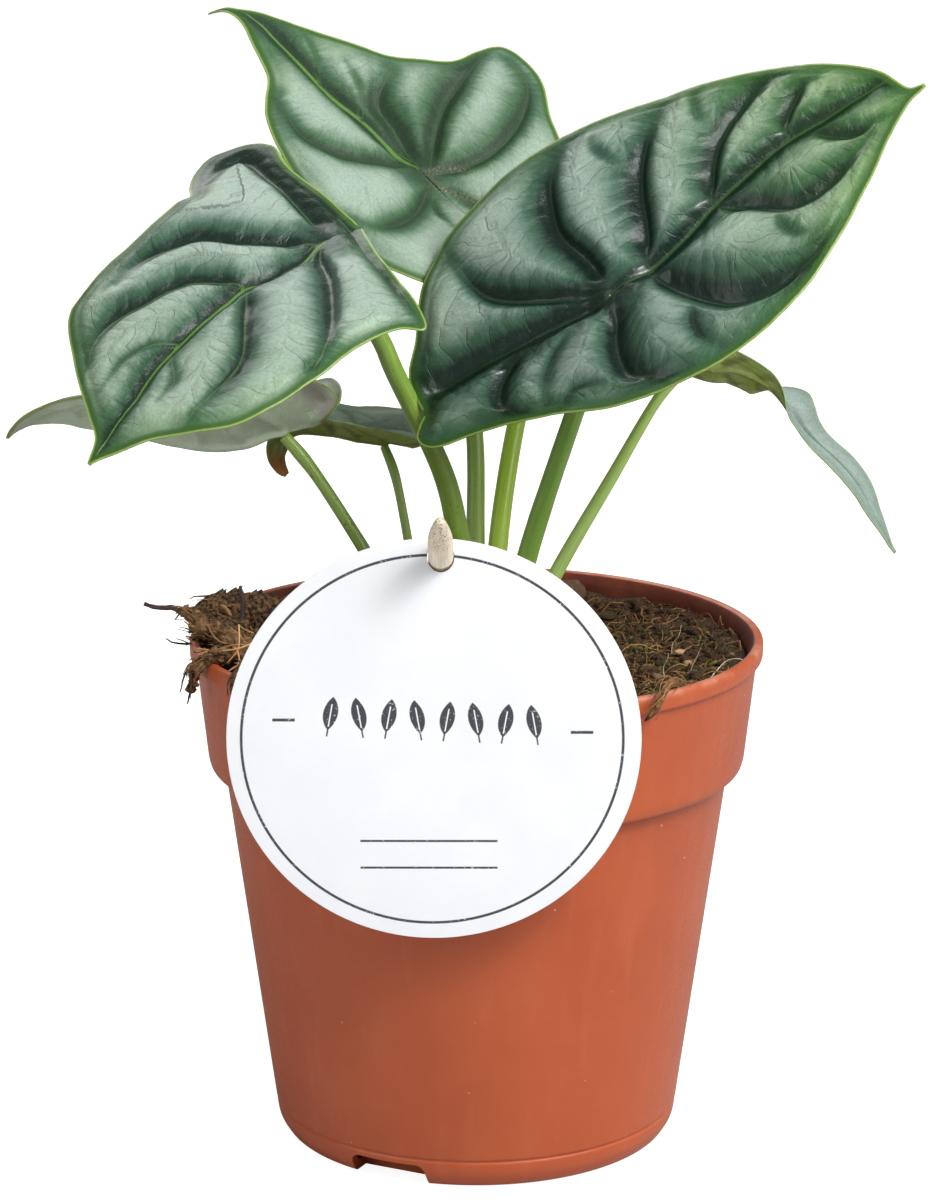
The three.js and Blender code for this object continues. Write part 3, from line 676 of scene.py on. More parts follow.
SILVER = (0.33, 0.43, 0.355)
SAGE = (0.05, 0.115, 0.075)
BOTTLE = (0.005, 0.021, 0.013)
SILVER_FRESH = (0.26, 0.38, 0.18)
SAGE_FRESH = (0.045, 0.135, 0.03)
BOTTLE_FRESH = (0.01, 0.038, 0.009)
MARGIN = (0.038, 0.105, 0.018)
MARGIN_LINE_AND_HIGHLIGHT = (0.26, 0.38, 0.08)
RIB_GREEN = (0.1, 0.22, 0.04)
WITHERED = (0.3, 0.125, 0.035)
# Purple grey, lightened with painted bounce light from below.
PURPLE_GREY_WITH_PAINTED_BOUNCE = (0.4, 0.37, 0.34)
HAZE_AND_PAINTED_LIGHT = (0.25, 0.31, 0.295)
CORK = (0.4, 0.34, 0.26)
# Underside colours, lightened with painted bounce light from below.
UNDER_DEEP_WITH_PAINTED_BOUNCE = (0.3, 0.39, 0.08)
UNDER_PALE_WITH_PAINTED_BOUNCE = (0.44, 0.53, 0.18)
UNDER_VEIN = (0.13, 0.15, 0.035)
UNDER_NET = (0.12, 0.15, 0.05)
UNDER_RIM = (0.27, 0.36, 0.13)
GREY_GREEN_WITH_PAINTED_BOUNCE = (0.56, 0.64, 0.52)
GREY_GREEN_DEEP = (0.3, 0.38, 0.26)
EDGE_DEEP = (0.18, 0.28, 0.06)
EDGE_LIGHT = (0.3, 0.4, 0.13)

# Vectors that each blade stores at its vertices, and what their three numbers are:
# pattern (along, across, mm to the rim), vein (mm to either side, mm to it, run along it),
# flesh (darkness: dark green and painted shade; freshness; how clear the vein's line is), wear
# (wither, purple, line width),
# mark (scar, haze with painted light, margin) and net (how far from where two veins meet)
FIELDS = ("pattern", "vein", "flesh", "wear", "mark", "net")


def skin_pigment_and_painted_shade(bench, dark_and_painted_shade, fresh, haze_and_painted_light, streaky, flat):
    """Silver, sage or bottle green by how dark the skin is, in dark green and painted shade,
    fresher towards the tip.
    """
    cloudy = (bench.noise(flat, 0.13, 3.0) - 0.5) * 0.35
    pigment_and_painted_shade = dark_and_painted_shade + streaky + cloudy
    to_sage = bench.fade(pigment_and_painted_shade, 0.04, 0.62)
    to_bottle = bench.fade(pigment_and_painted_shade, 0.5, 1.05)
    cool = bench.coats(SILVER, (to_sage, SAGE), (to_bottle, BOTTLE))
    warm = bench.coats(SILVER_FRESH, (to_sage, SAGE_FRESH), (to_bottle, BOTTLE_FRESH))
    # The haze is a pale grey green; on the small drooping leaf it is painted light.
    return bench.coats(cool, (fresh, warm), (haze_and_painted_light, HAZE_AND_PAINTED_LIGHT))


def skin_cracks(bench, near, run, flat, rim, haze_and_painted_light, apart):
    """The skin's cross veins and fine lace, its crazing, and the pillows between them."""
    drift = (bench.noise(flat, 0.12, 1.5) - 0.5) * 1.7
    count = run * 0.23 + near * 0.12 + drift
    off_tie = abs(bench.math("FRACT", count) - 0.5)
    fading = bench.fade(rim, 1.5, 4.0) * bench.fade(haze_and_painted_light, 0.12, 0.0)
    tied = fading * apart * bench.fade(near, 0.6, 2.2)
    ties = bench.fade(off_tie, 0.036, 0.0) * tied
    pillow = bench.fade(off_tie, 0.0, 0.4) * tied
    lace = bench.line_of(bench.noise(bench.warp(flat, 0.5, 1.2), 0.16, 1.0), 0.011)
    crack = bench.math("MAXIMUM", ties, lace * fading * 0.3)
    crazing = bench.line_of(bench.noise(bench.warp(flat, 0.8, 1.5), 0.5, 2.0), 0.012)
    etched = crack * 0.36 + crazing * fading * 0.16
    return pillow, crack, crazing, etched


def leaf_skin_group():
    """The upper skin: silver panels, dark bands by the veins with painted shade in them, fine
    cracks and a green margin.
    """
    inputs = {field: "Vector" for field in FIELDS}
    outputs = {"Color": "Color", "Roughness": "Float", "Coat": "Float", "Height": "Float"}
    tree, bench, given, result = new_group("leaf_skin", inputs, outputs)
    along, across, rim = bench.parts(given["pattern"])
    signed, near, run = bench.parts(given["vein"])
    dark_and_painted_shade, fresh, line = bench.parts(given["flesh"])
    wither, purple, width = bench.parts(given["wear"])
    scar, haze_and_painted_light, margin = bench.parts(given["mark"])
    apart = bench.parts(given["net"])[0]
    flat = bench.vector(along, across)

    brushed = bench.vector(run * 1.5, near * 0.14)
    streak = bench.noise(brushed, 1.0, 3.0, 0.6)
    streaky = (streak - 0.5) * bench.fade(near, 8.5, 1.5) * 0.42
    skin = skin_pigment_and_painted_shade(bench, dark_and_painted_shade, fresh, haze_and_painted_light, streaky, flat)
    pebble = bench.noise(flat, 1.5, 3.0, 0.6)
    skin = bench.brighten(skin, bench.fade(pebble, 0.3, 0.72, 0.9, 1.1))
    pillow, crack, crazing, etched = skin_cracks(bench, near, run, flat, rim, haze_and_painted_light, apart)
    skin = bench.brighten(skin, 1.0 - etched)

    off_line = abs(signed) / (width + 0.04)
    vein_line = bench.fade(off_line, 1.0, 0.4) * bench.fade(near, 1.4, 0.7) * line
    corked = bench.fade(bench.noise(flat, 2.0, 4.0, 0.7), 0.44, 0.64, 0.0, 0.55)
    corky = scar * corked
    bench.feed(result["Color"], bench.coats(
        skin,
        (vein_line, RIB_GREEN),
        (bench.fade(rim, 2.1, 0.9, 0.0, 0.9) * margin, MARGIN),
        # The edge line: the pale green edge, with a painted highlight on it.
        (bench.fade(rim, 0.6, 0.1) * margin, MARGIN_LINE_AND_HIGHLIGHT),
        (purple * 0.3, PURPLE_GREY_WITH_PAINTED_BOUNCE),
        (corky, CORK),
        (wither, WITHERED),
    ))
    rough = bench.fade(pebble, 0.3, 0.75, 0.0, 0.12) + bench.fade(near, 1, 6, 0.27, 0.35)
    rough = rough + (wither + corky) * 0.14 + bench.fade(haze_and_painted_light, 0.0, 0.06, 0.0, 0.2)
    bench.feed(result["Roughness"], rough)
    dull = bench.math("MAXIMUM", wither, bench.fade(haze_and_painted_light, 0.0, 0.06))
    waxy = bench.fade(near, 6.0, 1.0, 0.08, 0.36)
    bench.feed(result["Coat"], waxy * (1.0 - dull))
    height = pebble * 0.12 + bench.noise(flat, 4.0, 2.0) * 0.035 + streaky * 0.14 + pillow * 0.17
    height = height + crack * -0.09 + crazing * -0.025 + corky * 0.12 + vein_line * 0.12
    bench.feed(result["Height"], height)
    return tree


def leaf_top_material():
    bench = MaterialBench("leaf_upper_skin", Specular_IOR_Level=0.28, Coat_Roughness=0.14)
    skin = bench.group(leaf_skin_group(), {name: bench.stored(name) for name in FIELDS})
    bench.feed(bench.shader["Coat Weight"], skin["Coat"])
    return bench.dress(skin["Color"], skin["Roughness"], skin["Height"])


def leaf_underside_material():
    """Olive, or silvery where the leaf is purple, with darker veins and a fine net; its colours are
    lightened by painted bounce light from below.
    """
    bench = MaterialBench("leaf_underside", Specular_IOR_Level=0.35)
    along, across, rim = bench.parts(bench.stored("pattern"))
    near = bench.parts(bench.stored("vein"))[1]
    wither, purple = bench.parts(bench.stored("wear"))[:2]
    flat = bench.vector(along, across)
    cloud = bench.noise(flat, 0.16, 4.0)
    net = bench.line_of(bench.noise(bench.warp(flat, 0.5, 1.4), 0.22, 1.0), 0.014)
    cloudy = bench.fade(cloud, 0.35, 0.65, 0.0, 0.3)
    colour = bench.coats(
        bench.mottle(cloud, 0.3, 0.7, UNDER_DEEP_WITH_PAINTED_BOUNCE, UNDER_PALE_WITH_PAINTED_BOUNCE),
        (bench.fade(near, 1.5, 0.3, 0.0, 0.6), UNDER_VEIN),
        (net * 0.12, UNDER_NET),
        (bench.fade(purple, 0.0, 0.3, 0.0, 0.85), bench.blend(cloudy, GREY_GREEN_WITH_PAINTED_BOUNCE, GREY_GREEN_DEEP)),
        (bench.fade(purple, 0.6, 0.95, 0.0, 0.8), PURPLE_GREY_WITH_PAINTED_BOUNCE),
        (bench.fade(rim, 1.0, 0.3), UNDER_RIM),
        (wither, WITHERED),
    )
    pebble = bench.noise(flat, 1.8, 3.0)
    height = pebble * 0.1 + net * 0.08
    return bench.dress(colour, bench.fade(pebble, 0.3, 0.7, 0.5, 0.62), height)


def leaf_edge_material():
    bench = MaterialBench("leaf_edge")
    along, across = bench.parts(bench.stored("pattern"))[:2]
    wither = bench.parts(bench.stored("wear"))[0]
    tint = bench.fade(bench.noise(bench.vector(along, across), 0.25), 0.35, 0.65)
    colour = bench.coats(EDGE_DEEP, (tint, EDGE_LIGHT), (wither, WITHERED))
    return bench.dress(colour, bench.fade(tint, 0, 1, 0.38, 0.5))


# Leaf shapes

# How far in the relief eases off at the rim, how high the panels and their domes stand, and
# the fine groove that runs along the rim
RIM_REACH = 5.5
PANEL_LIFT = 0.9
DOME = 0.8
RIM_GROOVE = {"depth": 0.16, "in_by": 2.5, "width": 0.6}
# A crease falls steeply on its narrow side and gently on its wide one; where creases meet,
# the sum of their powers joins them softly
STEEP_SIDE = 0.65
GENTLE_SIDE = 1.35
CREASE_MERGE = 4
MIDRIB_WIDTH = 0.55
VEIN_WIDTH = 0.22
NO_VEIN_NEAR = 30
RIB_CROWDING = 1.35
SCAR_WIDTH = 0.8
NO_ROLL = (0, 0, 0)


def arc(angle, turn, distance, length):
    """An arc that starts at an angle and turns evenly: its angle there, its run and its lift."""
    bend = np.where(np.abs(turn) < 1e-6, 1e-6, turn) / length
    end = angle + bend * distance
    return end, (np.sin(end) - np.sin(angle)) / bend, (np.cos(angle) - np.cos(end)) / bend


def between(values, form, along):
    """A value in radians that eases from the joint to the back and to the tip."""
    back, joint, tip = np.radians(values)
    begin, end = form.get("twist", (0, 1))
    to_tip = (tip - joint) * smoothstep(along / form["tip"], begin, end)
    to_back = (back - joint) * smoothstep(-along / form["back"])
    return joint + to_tip + to_back


def blade_point(form, along, across, lift):
    """Points of the bent blade, lifted off its middle surface."""
    forward = along >= 0
    length = np.where(forward, form["tip"], -form["back"])
    droop = np.radians(np.where(forward, *form["droop"]))
    pitch, run, climb = arc(math.radians(form["rise"]), -droop, along, length)
    if "course" in form:
        line = smooth_line(form["course"], 60)
        lengths = line_lengths(line)
        ahead_by = np.clip(along, 0, None) / form["tip"] * lengths[-1]
        slope = np.unwrap(np.arctan2(np.gradient(line[:, 1]), np.gradient(line[:, 0])))
        pitch = np.where(forward, np.interp(ahead_by, lengths, slope), pitch)
        run = np.where(forward, np.interp(ahead_by, lengths, line[:, 0]), run)
        climb = np.where(forward, np.interp(ahead_by, lengths, line[:, 1]), climb)
    heading = math.radians(form["heading"])
    level = np.array([math.cos(heading), math.sin(heading), 0])
    side = np.array([-math.sin(heading), math.cos(heading), 0])
    ahead = level * np.cos(pitch)[:, None]
    ahead[:, 2] = np.sin(pitch)
    up = np.cross(ahead, side)
    roll = between(form.get("roll", NO_ROLL), form, along)[:, None]
    rolled_side = side * np.cos(roll) + up * np.sin(roll)
    rolled_up = up * np.cos(roll) - side * np.sin(roll)
    is_left = across >= 0
    fold_left = between(form["fold_left"], form, along)
    fold_right = between(form.get("fold_right", form["fold_left"]), form, along)
    fold = np.where(is_left, fold_left, fold_right)
    middle, reach, pinch = form.get("pinch", (0, 1, 0))
    fold = fold + math.radians(pinch) * np.exp(-(((along - middle) / reach) ** 2))
    cup = np.radians(np.where(is_left, *form["cup"]))
    angle, half_run, half_lift = arc(fold, cup, np.abs(across), form["wide"])
    drift = np.where(forward, *form.get("sway", (0, 0))) * (along / length) ** 2
    sideways = np.where(is_left, 1, -1) * (half_run - lift * np.sin(angle)) + drift
    points = np.array(form["node"]) + level * run[:, None]
    points[:, 2] += climb
    points += rolled_side * sideways[:, None]
    return points + rolled_up * (half_lift + lift * np.cos(angle))[:, None]


def regular_veins(form):
    """A midrib and pairs of side veins that sweep forward, for a leaf without a drawn pattern."""
    pairs, depth = form["ribs"]
    outline = np.array(form["left"], float)
    widths = outline[np.argsort(outline[:, 0])]
    tip, back = form["tip"], form["back"]
    veins = [(depth, 1.6, 1.6, [[0, 0], [tip * 0.5, 0], [tip - 2, 0]])]
    for sign in (1, -1):
        lobe = sign * np.interp(-0.5 * back, widths[:, 0], widths[:, 1])
        veins.append((depth * 0.8, 1.4, 1.4, [[0, 0], [-0.35 * back, 0.45 * lobe],
                                              [-0.7 * back, 0.6 * lobe]]))
        for start in np.linspace(0, 0.72 * tip, pairs):
            width = np.interp(start, widths[:, 0], widths[:, 1])
            end = start + 0.7 * width
            reach = 0.86 * np.interp(end, widths[:, 0], widths[:, 1])
            course = [[start, 0], [start + 0.25 * width, sign * 0.5 * width], [end, sign * reach]]
            veins.append((depth * 0.8, 1.4, 1.4, course))
    return veins


def vein_fields(form, flat):
    """What the veins do at points of the flat leaf, by name."""
    blank = np.zeros(len(flat))
    crease, dark_and_painted_shade, ridge = blank, blank, blank
    near = blank + NO_VEIN_NEAR
    second = near + 4
    fields = {"signed": blank, "run": blank, "tone": blank, "width": blank}
    for index, (depth, left, right, points) in enumerate(form["veins"]):
        course = smooth_line(points, 8 * len(points))
        distance, run, side = nearest_on(course, flat)
        share = run / line_lengths(course)[-1]
        is_midrib = index == 0
        if is_midrib:
            strength = 1 - 0.6 * smoothstep(share, 0.7, 1)
        else:
            fading = 1 - 0.85 * smoothstep(share, 0.6, 1)
            strength = (0.5 + 0.5 * smoothstep(run, 0, 5)) * fading
        band = np.where(side > 0, left, right)
        other = np.where(side > 0, right, left)
        reach = (1.8 + 1.5 * depth) * np.where(band >= other, GENTLE_SIDE, STEEP_SIDE)
        soft = np.sqrt(distance**2 + 0.16) - 0.4
        weight = smoothstep(depth, 0.2, 2.2)
        sunk = 1.25 * depth * (0.5 + 0.5 * weight) * strength
        crease = crease + (sunk * np.clip(1 - soft / reach, 0, None) ** 1.7) ** CREASE_MERGE
        # The dark band: dark green, and painted shade for the walls of the crease.
        wide = 0.75 * np.exp(-((distance / (1.3 * band + 1.5)) ** 1.45))
        shade = wide + 0.6 * np.exp(-((distance / (0.5 * band + 0.4)) ** 1.6))
        shade *= (0.35 + 0.65 * strength) * (0.45 + 0.55 * weight)
        dark_and_painted_shade = np.maximum(dark_and_painted_shade, shade)
        height = (1.0 if is_midrib else 0.4) * strength
        ridge = np.maximum(ridge, height * np.exp(-((distance / 0.9) ** 2)))
        closer = distance < near
        second = np.where(closer, near, np.minimum(second, distance))
        near = np.where(closer, distance, near)
        here = {
            "signed": np.clip(side * distance, -3, 3), "run": run,
            "tone": form["line"][0 if is_midrib else 1],
            "width": MIDRIB_WIDTH * (1 - 0.6 * share) if is_midrib else VEIN_WIDTH,
        }
        for name, value in here.items():
            fields[name] = np.where(closer, value, fields[name])
    apart = smoothstep(second - near, 0.2, 1.6)
    crease = crease ** (1 / CREASE_MERGE)
    return fields | {"crease": crease, "dark_and_painted_shade": dark_and_painted_shade, "ridge": ridge, "near": near, "apart": apart}


def blade_grid(form):
    """Ribs that fan out from the midrib to the edge: the flat leaf's points, rib by rib."""
    rows, columns = form["grid"]
    left = form["left"]
    right = form.get("right", [[along, -across] for along, across in left])
    t = np.linspace(0.006, 0.994, rows)
    start = left[-1][0] + (left[0][0] - left[-1][0]) * t**RIB_CROWDING
    edges = {1: even_line(left, 1 - t), -1: even_line(right, 1 - t)}
    flat = np.zeros((rows, columns, 2))
    for column, share in enumerate(np.linspace(-1, 1, columns)):
        edge = edges[1 if share >= 0 else -1]
        flat[:, column, 0] = start + (edge[:, 0] - start) * abs(share)
        flat[:, column, 1] = edge[:, 1] * abs(share) + 0.3 * share
    return flat


def sheet_faces(rows, columns):
    """Faces of a closed sheet, and which are top, underside and edge."""
    quads = grid_faces(rows, columns)
    lower = rows * columns
    top = [(a, d, c, b) for a, b, c, d in quads]
    under = [(a + lower, b + lower, c + lower, d + lower) for a, b, c, d in quads]
    last_row = (rows - 1) * columns
    border = list(range(columns))
    border += [row * columns + columns - 1 for row in range(1, rows)]
    border += [last_row + column for column in range(columns - 2, -1, -1)]
    border += [row * columns for row in range(rows - 2, 0, -1)]
    edge = []
    for index, here in enumerate(border):
        following = border[(index + 1) % len(border)]
        edge.append((here, following, following + lower, here + lower))
    return top + under + edge, [0] * len(top) + [1] * len(under) + [2] * len(edge)


def blade_relief(form, flat, rim, veins):
    """How far the skin is lifted off the blade's middle, and its veins stand out below."""
    seed = form["seed"] * 7.3
    by_joint = smoothstep(np.linalg.norm(flat, axis=1), 1, 9)
    inside = smoothstep(rim, 0.3, RIM_REACH)
    from_groove = (rim - RIM_GROOVE["in_by"]) / RIM_GROOVE["width"]
    groove = RIM_GROOVE["depth"] * np.exp(-(from_groove**2))
    dome = DOME * smoothstep(veins["near"], 1, 14) * by_joint
    relief = inside * (PANEL_LIFT + dome - veins["crease"] * (0.1 + 0.9 * by_joint)) - groove
    relief += 0.4 * inside * lumps(flat, 0.09, seed, 2) + 0.08 * lumps(flat, 0.45, seed + 3, 2)
    wave = form.get("wave", 0.6) * (1 - smoothstep(rim, 0, 9))
    return relief + wave * lumps(flat, 0.11, seed + 9, 1), veins["ridge"] * inside


def blade_tones(form, flat, rim, veins):
    """The numbers that the blade's materials read, by the name of their vector."""
    along, across = flat[:, 0], flat[:, 1]
    by_tip = along / form["tip"]
    fresh = form.get("fresh", 0.5) * smoothstep(by_tip, 0.1, 0.9)
    fresh = np.clip(fresh + 0.35 * (1 - smoothstep(rim, 1, 8)), 0, 1)
    fresh = np.maximum(fresh, form.get("green", 0) * np.clip(veins["dark_and_painted_shade"], 0, 1))
    wither = form.get("wither", 0) * smoothstep(by_tip, 0.74, 0.9)
    purple = form.get("purple", 0) * (0.35 + 0.65 * smoothstep(-along, 2, 13))
    by_middle = 0.9 * np.exp(-(((along**2 + across**2) ** 0.5 / 9) ** 2))
    dark_and_painted_shade = np.maximum(veins["dark_and_painted_shade"], by_middle) * form.get("contrast", 1)
    dark_and_painted_shade = dark_and_painted_shade + 0.32 * form.get("margin", 1) * (1 - smoothstep(rim, 0.5, 6.5))
    # Painted shade: darker towards the lower back of the blade.
    dark_and_painted_shade = dark_and_painted_shade + form.get("painted_shade", 0) * smoothstep(-across - 0.3 * along, -12, 28)
    scar = np.zeros(len(flat))
    for course in form.get("scars", ()):
        away = nearest_on(np.array(course, float), flat)[0]
        scar = np.maximum(scar, np.exp(-((away / SCAR_WIDTH) ** 2)))
    even = np.ones(len(flat))
    return {
        "pattern": (along, across, rim),
        "vein": (veins["signed"], veins["near"], veins["run"]),
        "flesh": (dark_and_painted_shade, fresh, veins["tone"]),
        "wear": (wither, purple, veins["width"]),
        "mark": (scar, even * form.get("haze_and_painted_light", 0), even * form.get("margin", 1)),
        "net": (veins["apart"],),
    }


def leaf(name, materials):
    """A blade: its upper skin and its underside, with the same numbers stored on both."""
    form = LEAVES[name]
    if "ribs" in form:
        form["veins"] = regular_veins(form)
    grid = blade_grid(form)
    flat = grid.reshape(-1, 2)
    outline = np.vstack([grid[:, 0], grid[::-1, -1]])
    rim = nearest_on(outline, flat)[0]
    veins = vein_fields(form, flat)
    relief, ridge = blade_relief(form, flat, rim, veins)
    half = BLADE_THICKNESS / 2 * (0.45 + 0.55 * smoothstep(rim, 0, 1.5))
    above = blade_point(form, *flat.T, relief + half)
    below = blade_point(form, *flat.T, relief - half - ridge)
    faces, kinds = sheet_faces(*form["grid"])
    shape = (np.vstack([above, below]), faces)
    piece = make_piece(f"{name}_blade", shape, materials, [f"leaf_{name}"], kinds)
    for field, columns in blade_tones(form, flat, rim, veins).items():
        give(piece, field, *[np.tile(column, 2) for column in columns])


# Stalks

STALK_CLOUD = (0.36, 0.5, 0.08)
STALK_FLECK = (0.045, 0.06, 0.016)
STALK_FOOT = (0.38, 0.44, 0.2)
STALK_RINGS = 90
STALK_SIDES = 28
# How much a stalk swells at its foot and under its leaf, and how deep its groove is
FOOT_SWELL = 0.3
NECK_SWELL = 0.16
STALK_GROOVE = 0.06


def stalk_skin_group():
    """Smooth stalk flesh: fine lines along it, soft mottling and dark flecks."""
    inputs = {"Course": "Vector", "Low": "Color", "High": "Color", "Flecks": "Float"}
    outputs = {"Color": "Color", "Roughness": "Float", "Height": "Float"}
    tree, bench, given, result = new_group("stalk_skin", inputs, outputs)
    run, around, share = bench.parts(given["Course"])
    lines_at = bench.vector(run * 0.06, around * 2.2)
    lines = bench.noise(lines_at, 1.0, 3.0)
    clouds = bench.noise(bench.vector(run * 0.14, around), 1.0, 2.0)
    colour = bench.mottle(share, 0.05, 0.8, given["Low"], given["High"])
    colour = bench.brighten(colour, bench.fade(lines, 0.35, 0.75, 0.92, 1.09))
    spot_at = bench.vector(run * 0.55, around * 0.8)
    spots = bench.fade(bench.cells(spot_at, 1.3), 0.3, 0.12)
    spots = spots * bench.fade(bench.noise(spot_at, 0.6), 0.4, 0.6) * given["Flecks"]
    bench.feed(result["Color"], bench.coats(
        colour,
        (bench.fade(clouds, 0.45, 0.75, 0.0, 0.3), STALK_CLOUD),
        (spots, STALK_FLECK),
        (bench.fade(run, 9.0, 0.0, 0.0, 0.7), STALK_FOOT),
    ))
    bench.feed(result["Roughness"], bench.fade(lines, 0.3, 0.7, 0.34, 0.48))
    height = lines * 0.05 + spots * -0.05
    bench.feed(result["Height"], height)
    return tree


def stalk(name, group):
    """A tapering fleshy stalk from the soil to its leaf's joint."""
    form = STALKS[name]
    rings, sides = STALK_RINGS, STALK_SIDES
    share = np.linspace(0, 1, rings)
    line = even_line(form["path"], share)
    run = line_lengths(line)
    low, high = form["radii"]
    radius = low + (high - low) * share
    radius = radius * (1 + FOOT_SWELL * (1 - smoothstep(run, 2, 20)))
    to_top = run[-1] - run
    radius = radius * (1 + NECK_SWELL * np.exp(-(((to_top - 5) / 4) ** 2)))
    angle = ring_angles(sides)
    wave = lumps(np.column_stack([run * 0.08, np.full(rings, low * 9)]), 1.0)
    groove = STALK_GROOVE * np.exp(-((np.sin((angle - 1.2) / 2) / 0.16) ** 2))
    squash = 1 - groove[None] + 0.03 * wave[:, None] * np.cos(2 * angle)[None]
    shape = tube(line, radius, sides, squash)
    bench = MaterialBench(f"stalk_{name}_flesh", Coat_Weight=0.15)
    feeds = {"Course": bench.stored("course"), "Low": form["low"], "High": form["high"],
             "Flecks": form["flecks"]}
    skin = bench.group(group, feeds)
    material = bench.dress(skin["Color"], skin["Roughness"], skin["Height"])
    piece = make_piece(f"{name}_stalk", shape, [material], [f"stalk_{name}"])
    around = np.abs(angle - math.pi) * low
    give(piece, "course", np.repeat(run, sides), np.tile(around, rings), np.repeat(share, sides))


# Pot

TERRACOTTA = (0.48, 0.095, 0.027)
TERRACOTTA_DEEP = (0.43, 0.079, 0.021)
FLOW_MARK = (0.58, 0.16, 0.07)
PALE_SPECK = (0.75, 0.5, 0.38)
INNER_WALL_SHADE = (0.12, 0.019, 0.008)
SOIL_LINE_DARK = (0.03, 0.015, 0.009)
SCUFF_AND_HIGHLIGHT = (0.72, 0.4, 0.28)
# Longest step along the pot's wall
SPAN = 12


def pot_material():
    """Moulded plastic: cloudy, with specks, a scuffed rim with a painted highlight, and an inner
    wall darkened by painted shade and darker still by the soil.
    """
    bench = MaterialBench("terracotta_plastic", Specular_IOR_Level=0.5)
    place = bench.place()
    x, y, z = bench.parts(place)
    radius = bench.math("SQRT", x * x + y * y)
    wall = radius - (z - STEP_Z) * 0.11
    inner = bench.fade(z, POT_HEIGHT, POT_HEIGHT - 0.4) * bench.fade(wall, 55.3, 55.0)
    inner = inner * bench.fade(z, 82.0, 84.0)
    # Painted shade over the inner wall.
    inner_shade = bench.fade(bench.noise(place, 0.14, 4.0), 0.3, 0.6, 0.78, 0.94)
    flow = bench.noise(bench.stretch(place, 0.25, 0.25, 0.02), 1.0, 3.0)
    speck = bench.fade(bench.cells(place, 0.22), 0.075, 0.035)
    speck = speck * bench.fade(bench.noise(place, 0.09, 1.0), 0.55, 0.62)
    # Darker still just above the soil.
    by_soil_line = inner * bench.fade(z, 104.0, 101.5) * bench.fade(bench.noise(place, 0.6), 0.45, 0.6)
    # Scuffs on the rim's bead, with a painted highlight.
    scuffs_and_highlight = bench.fade(bench.noise(place, 0.06, 4.0, 0.65), 0.42, 0.62, 0.0, 0.4)
    scuffed_and_highlit = bench.fade(z, 105.6, 107.3) * (1.0 - inner) * scuffs_and_highlight
    colour = bench.coats(
        bench.mottle(bench.noise(place, 0.035, 3.0), 0.3, 0.7, TERRACOTTA_DEEP, TERRACOTTA),
        (bench.fade(flow, 0.5, 0.8, 0.0, 0.2), FLOW_MARK),
        (speck * 0.6, PALE_SPECK),
        (inner * inner_shade, INNER_WALL_SHADE),
        (by_soil_line * 0.7, SOIL_LINE_DARK),
        (scuffed_and_highlit, SCUFF_AND_HIGHLIGHT),
    )
    grain = bench.noise(place, 1.6, 3.0)
    height = grain * 0.022 + speck * 0.04 + bench.noise(place, 0.12, 2.0) * 0.16
    rough = bench.fade(grain, 0.3, 0.7, 0.36, 0.47) + inner * 0.25
    return bench.dress(colour, rough, height)


def pot():
    """The turned pot with three drain notches at its foot."""
    step_top = STEP_Z + 1.6
    # Radius, height and how round the corner is
    outline = [
        (0, 0, 0), (30, 0, 0), (BASE_RADIUS - 1.6, 0, 1.2), (BASE_RADIUS + 0.35, 3, 1.2),
        (BASE_RADIUS + 0.75, 5.7, 0.3), (BASE_RADIUS + 0.45, 6.2, 0.3),
        (BASE_RADIUS + 0.9, 6.7, 0.3), (BODY_TOP_RADIUS, STEP_Z - 0.5, 0.9),
        (COLLAR_LOW - 0.5, STEP_Z - 0.2, 1.5), (COLLAR_LOW + 0.1, step_top, 1.0),
        (COLLAR_HIGH, BEAD_Z - 0.6, 0.4), (RIM_RADIUS - 0.1, BEAD_Z - 0.3, 0.7),
        (RIM_RADIUS, POT_HEIGHT, 1.2), (RIM_RADIUS - 2.0, POT_HEIGHT, 1.0),
        (RIM_RADIUS - 2.9, POT_HEIGHT - 2, 0.8), (COLLAR_LOW - WALL, step_top, 1.5),
        (BODY_TOP_RADIUS - WALL, STEP_Z - 1.2, 1.0), (BASE_RADIUS - WALL, 3.5, 1.0),
        (BASE_RADIUS - 3, FLOOR, 1.0), (0, FLOOR, 0),
    ]
    profile = []
    for (radius, z, corner), (next_radius, next_z, _) in zip(outline[:-1], outline[1:]):
        profile.append((radius, z, corner))
        spans = int(abs(next_z - z) // SPAN)
        for step in range(1, spans):
            share = step / spans
            between_radii = radius + (next_radius - radius) * share
            profile.append((between_radii, z + (next_z - z) * share, 0))
    profile.append(outline[-1])
    piece = make_piece("nursery_pot", turned(rounded(profile), POT_SIDES),
                       [pot_material()], ["pot"])
    cut_out(piece, [notch_cutter(math.radians(angle)) for angle in NOTCH_ANGLES])
    smooth(piece, sharp=34)


def notch_cutter(angle):
    """A bar with a rounded top that lies along a radius and cuts a drain notch."""
    half, height, corner = NOTCH["width"] / 2, NOTCH["height"], NOTCH["round"]
    section = [(-half, -1.5), (half, -1.5)]
    for side, start in ((1, 0), (-1, 90)):
        for turn in np.radians(np.linspace(start, start + 90, 7)):
            section.append((side * (half - corner) + corner * math.cos(turn),
                            height - corner + corner * math.sin(turn)))
    radii = (BASE_RADIUS - NOTCH["depth"], BASE_RADIUS + 8)
    away = np.array([math.cos(angle), math.sin(angle), 0])
    along = np.array([-math.sin(angle), math.cos(angle), 0])
    rings = [[away * radius + along * u + [0, 0, z] for u, z in section] for radius in radii]
    size = len(section)
    faces = grid_faces(2, size, closed=True)
    faces += [tuple(reversed(range(size))), tuple(range(size, 2 * size))]
    return np.array(rings).reshape(-1, 3), faces


# Soil and roots

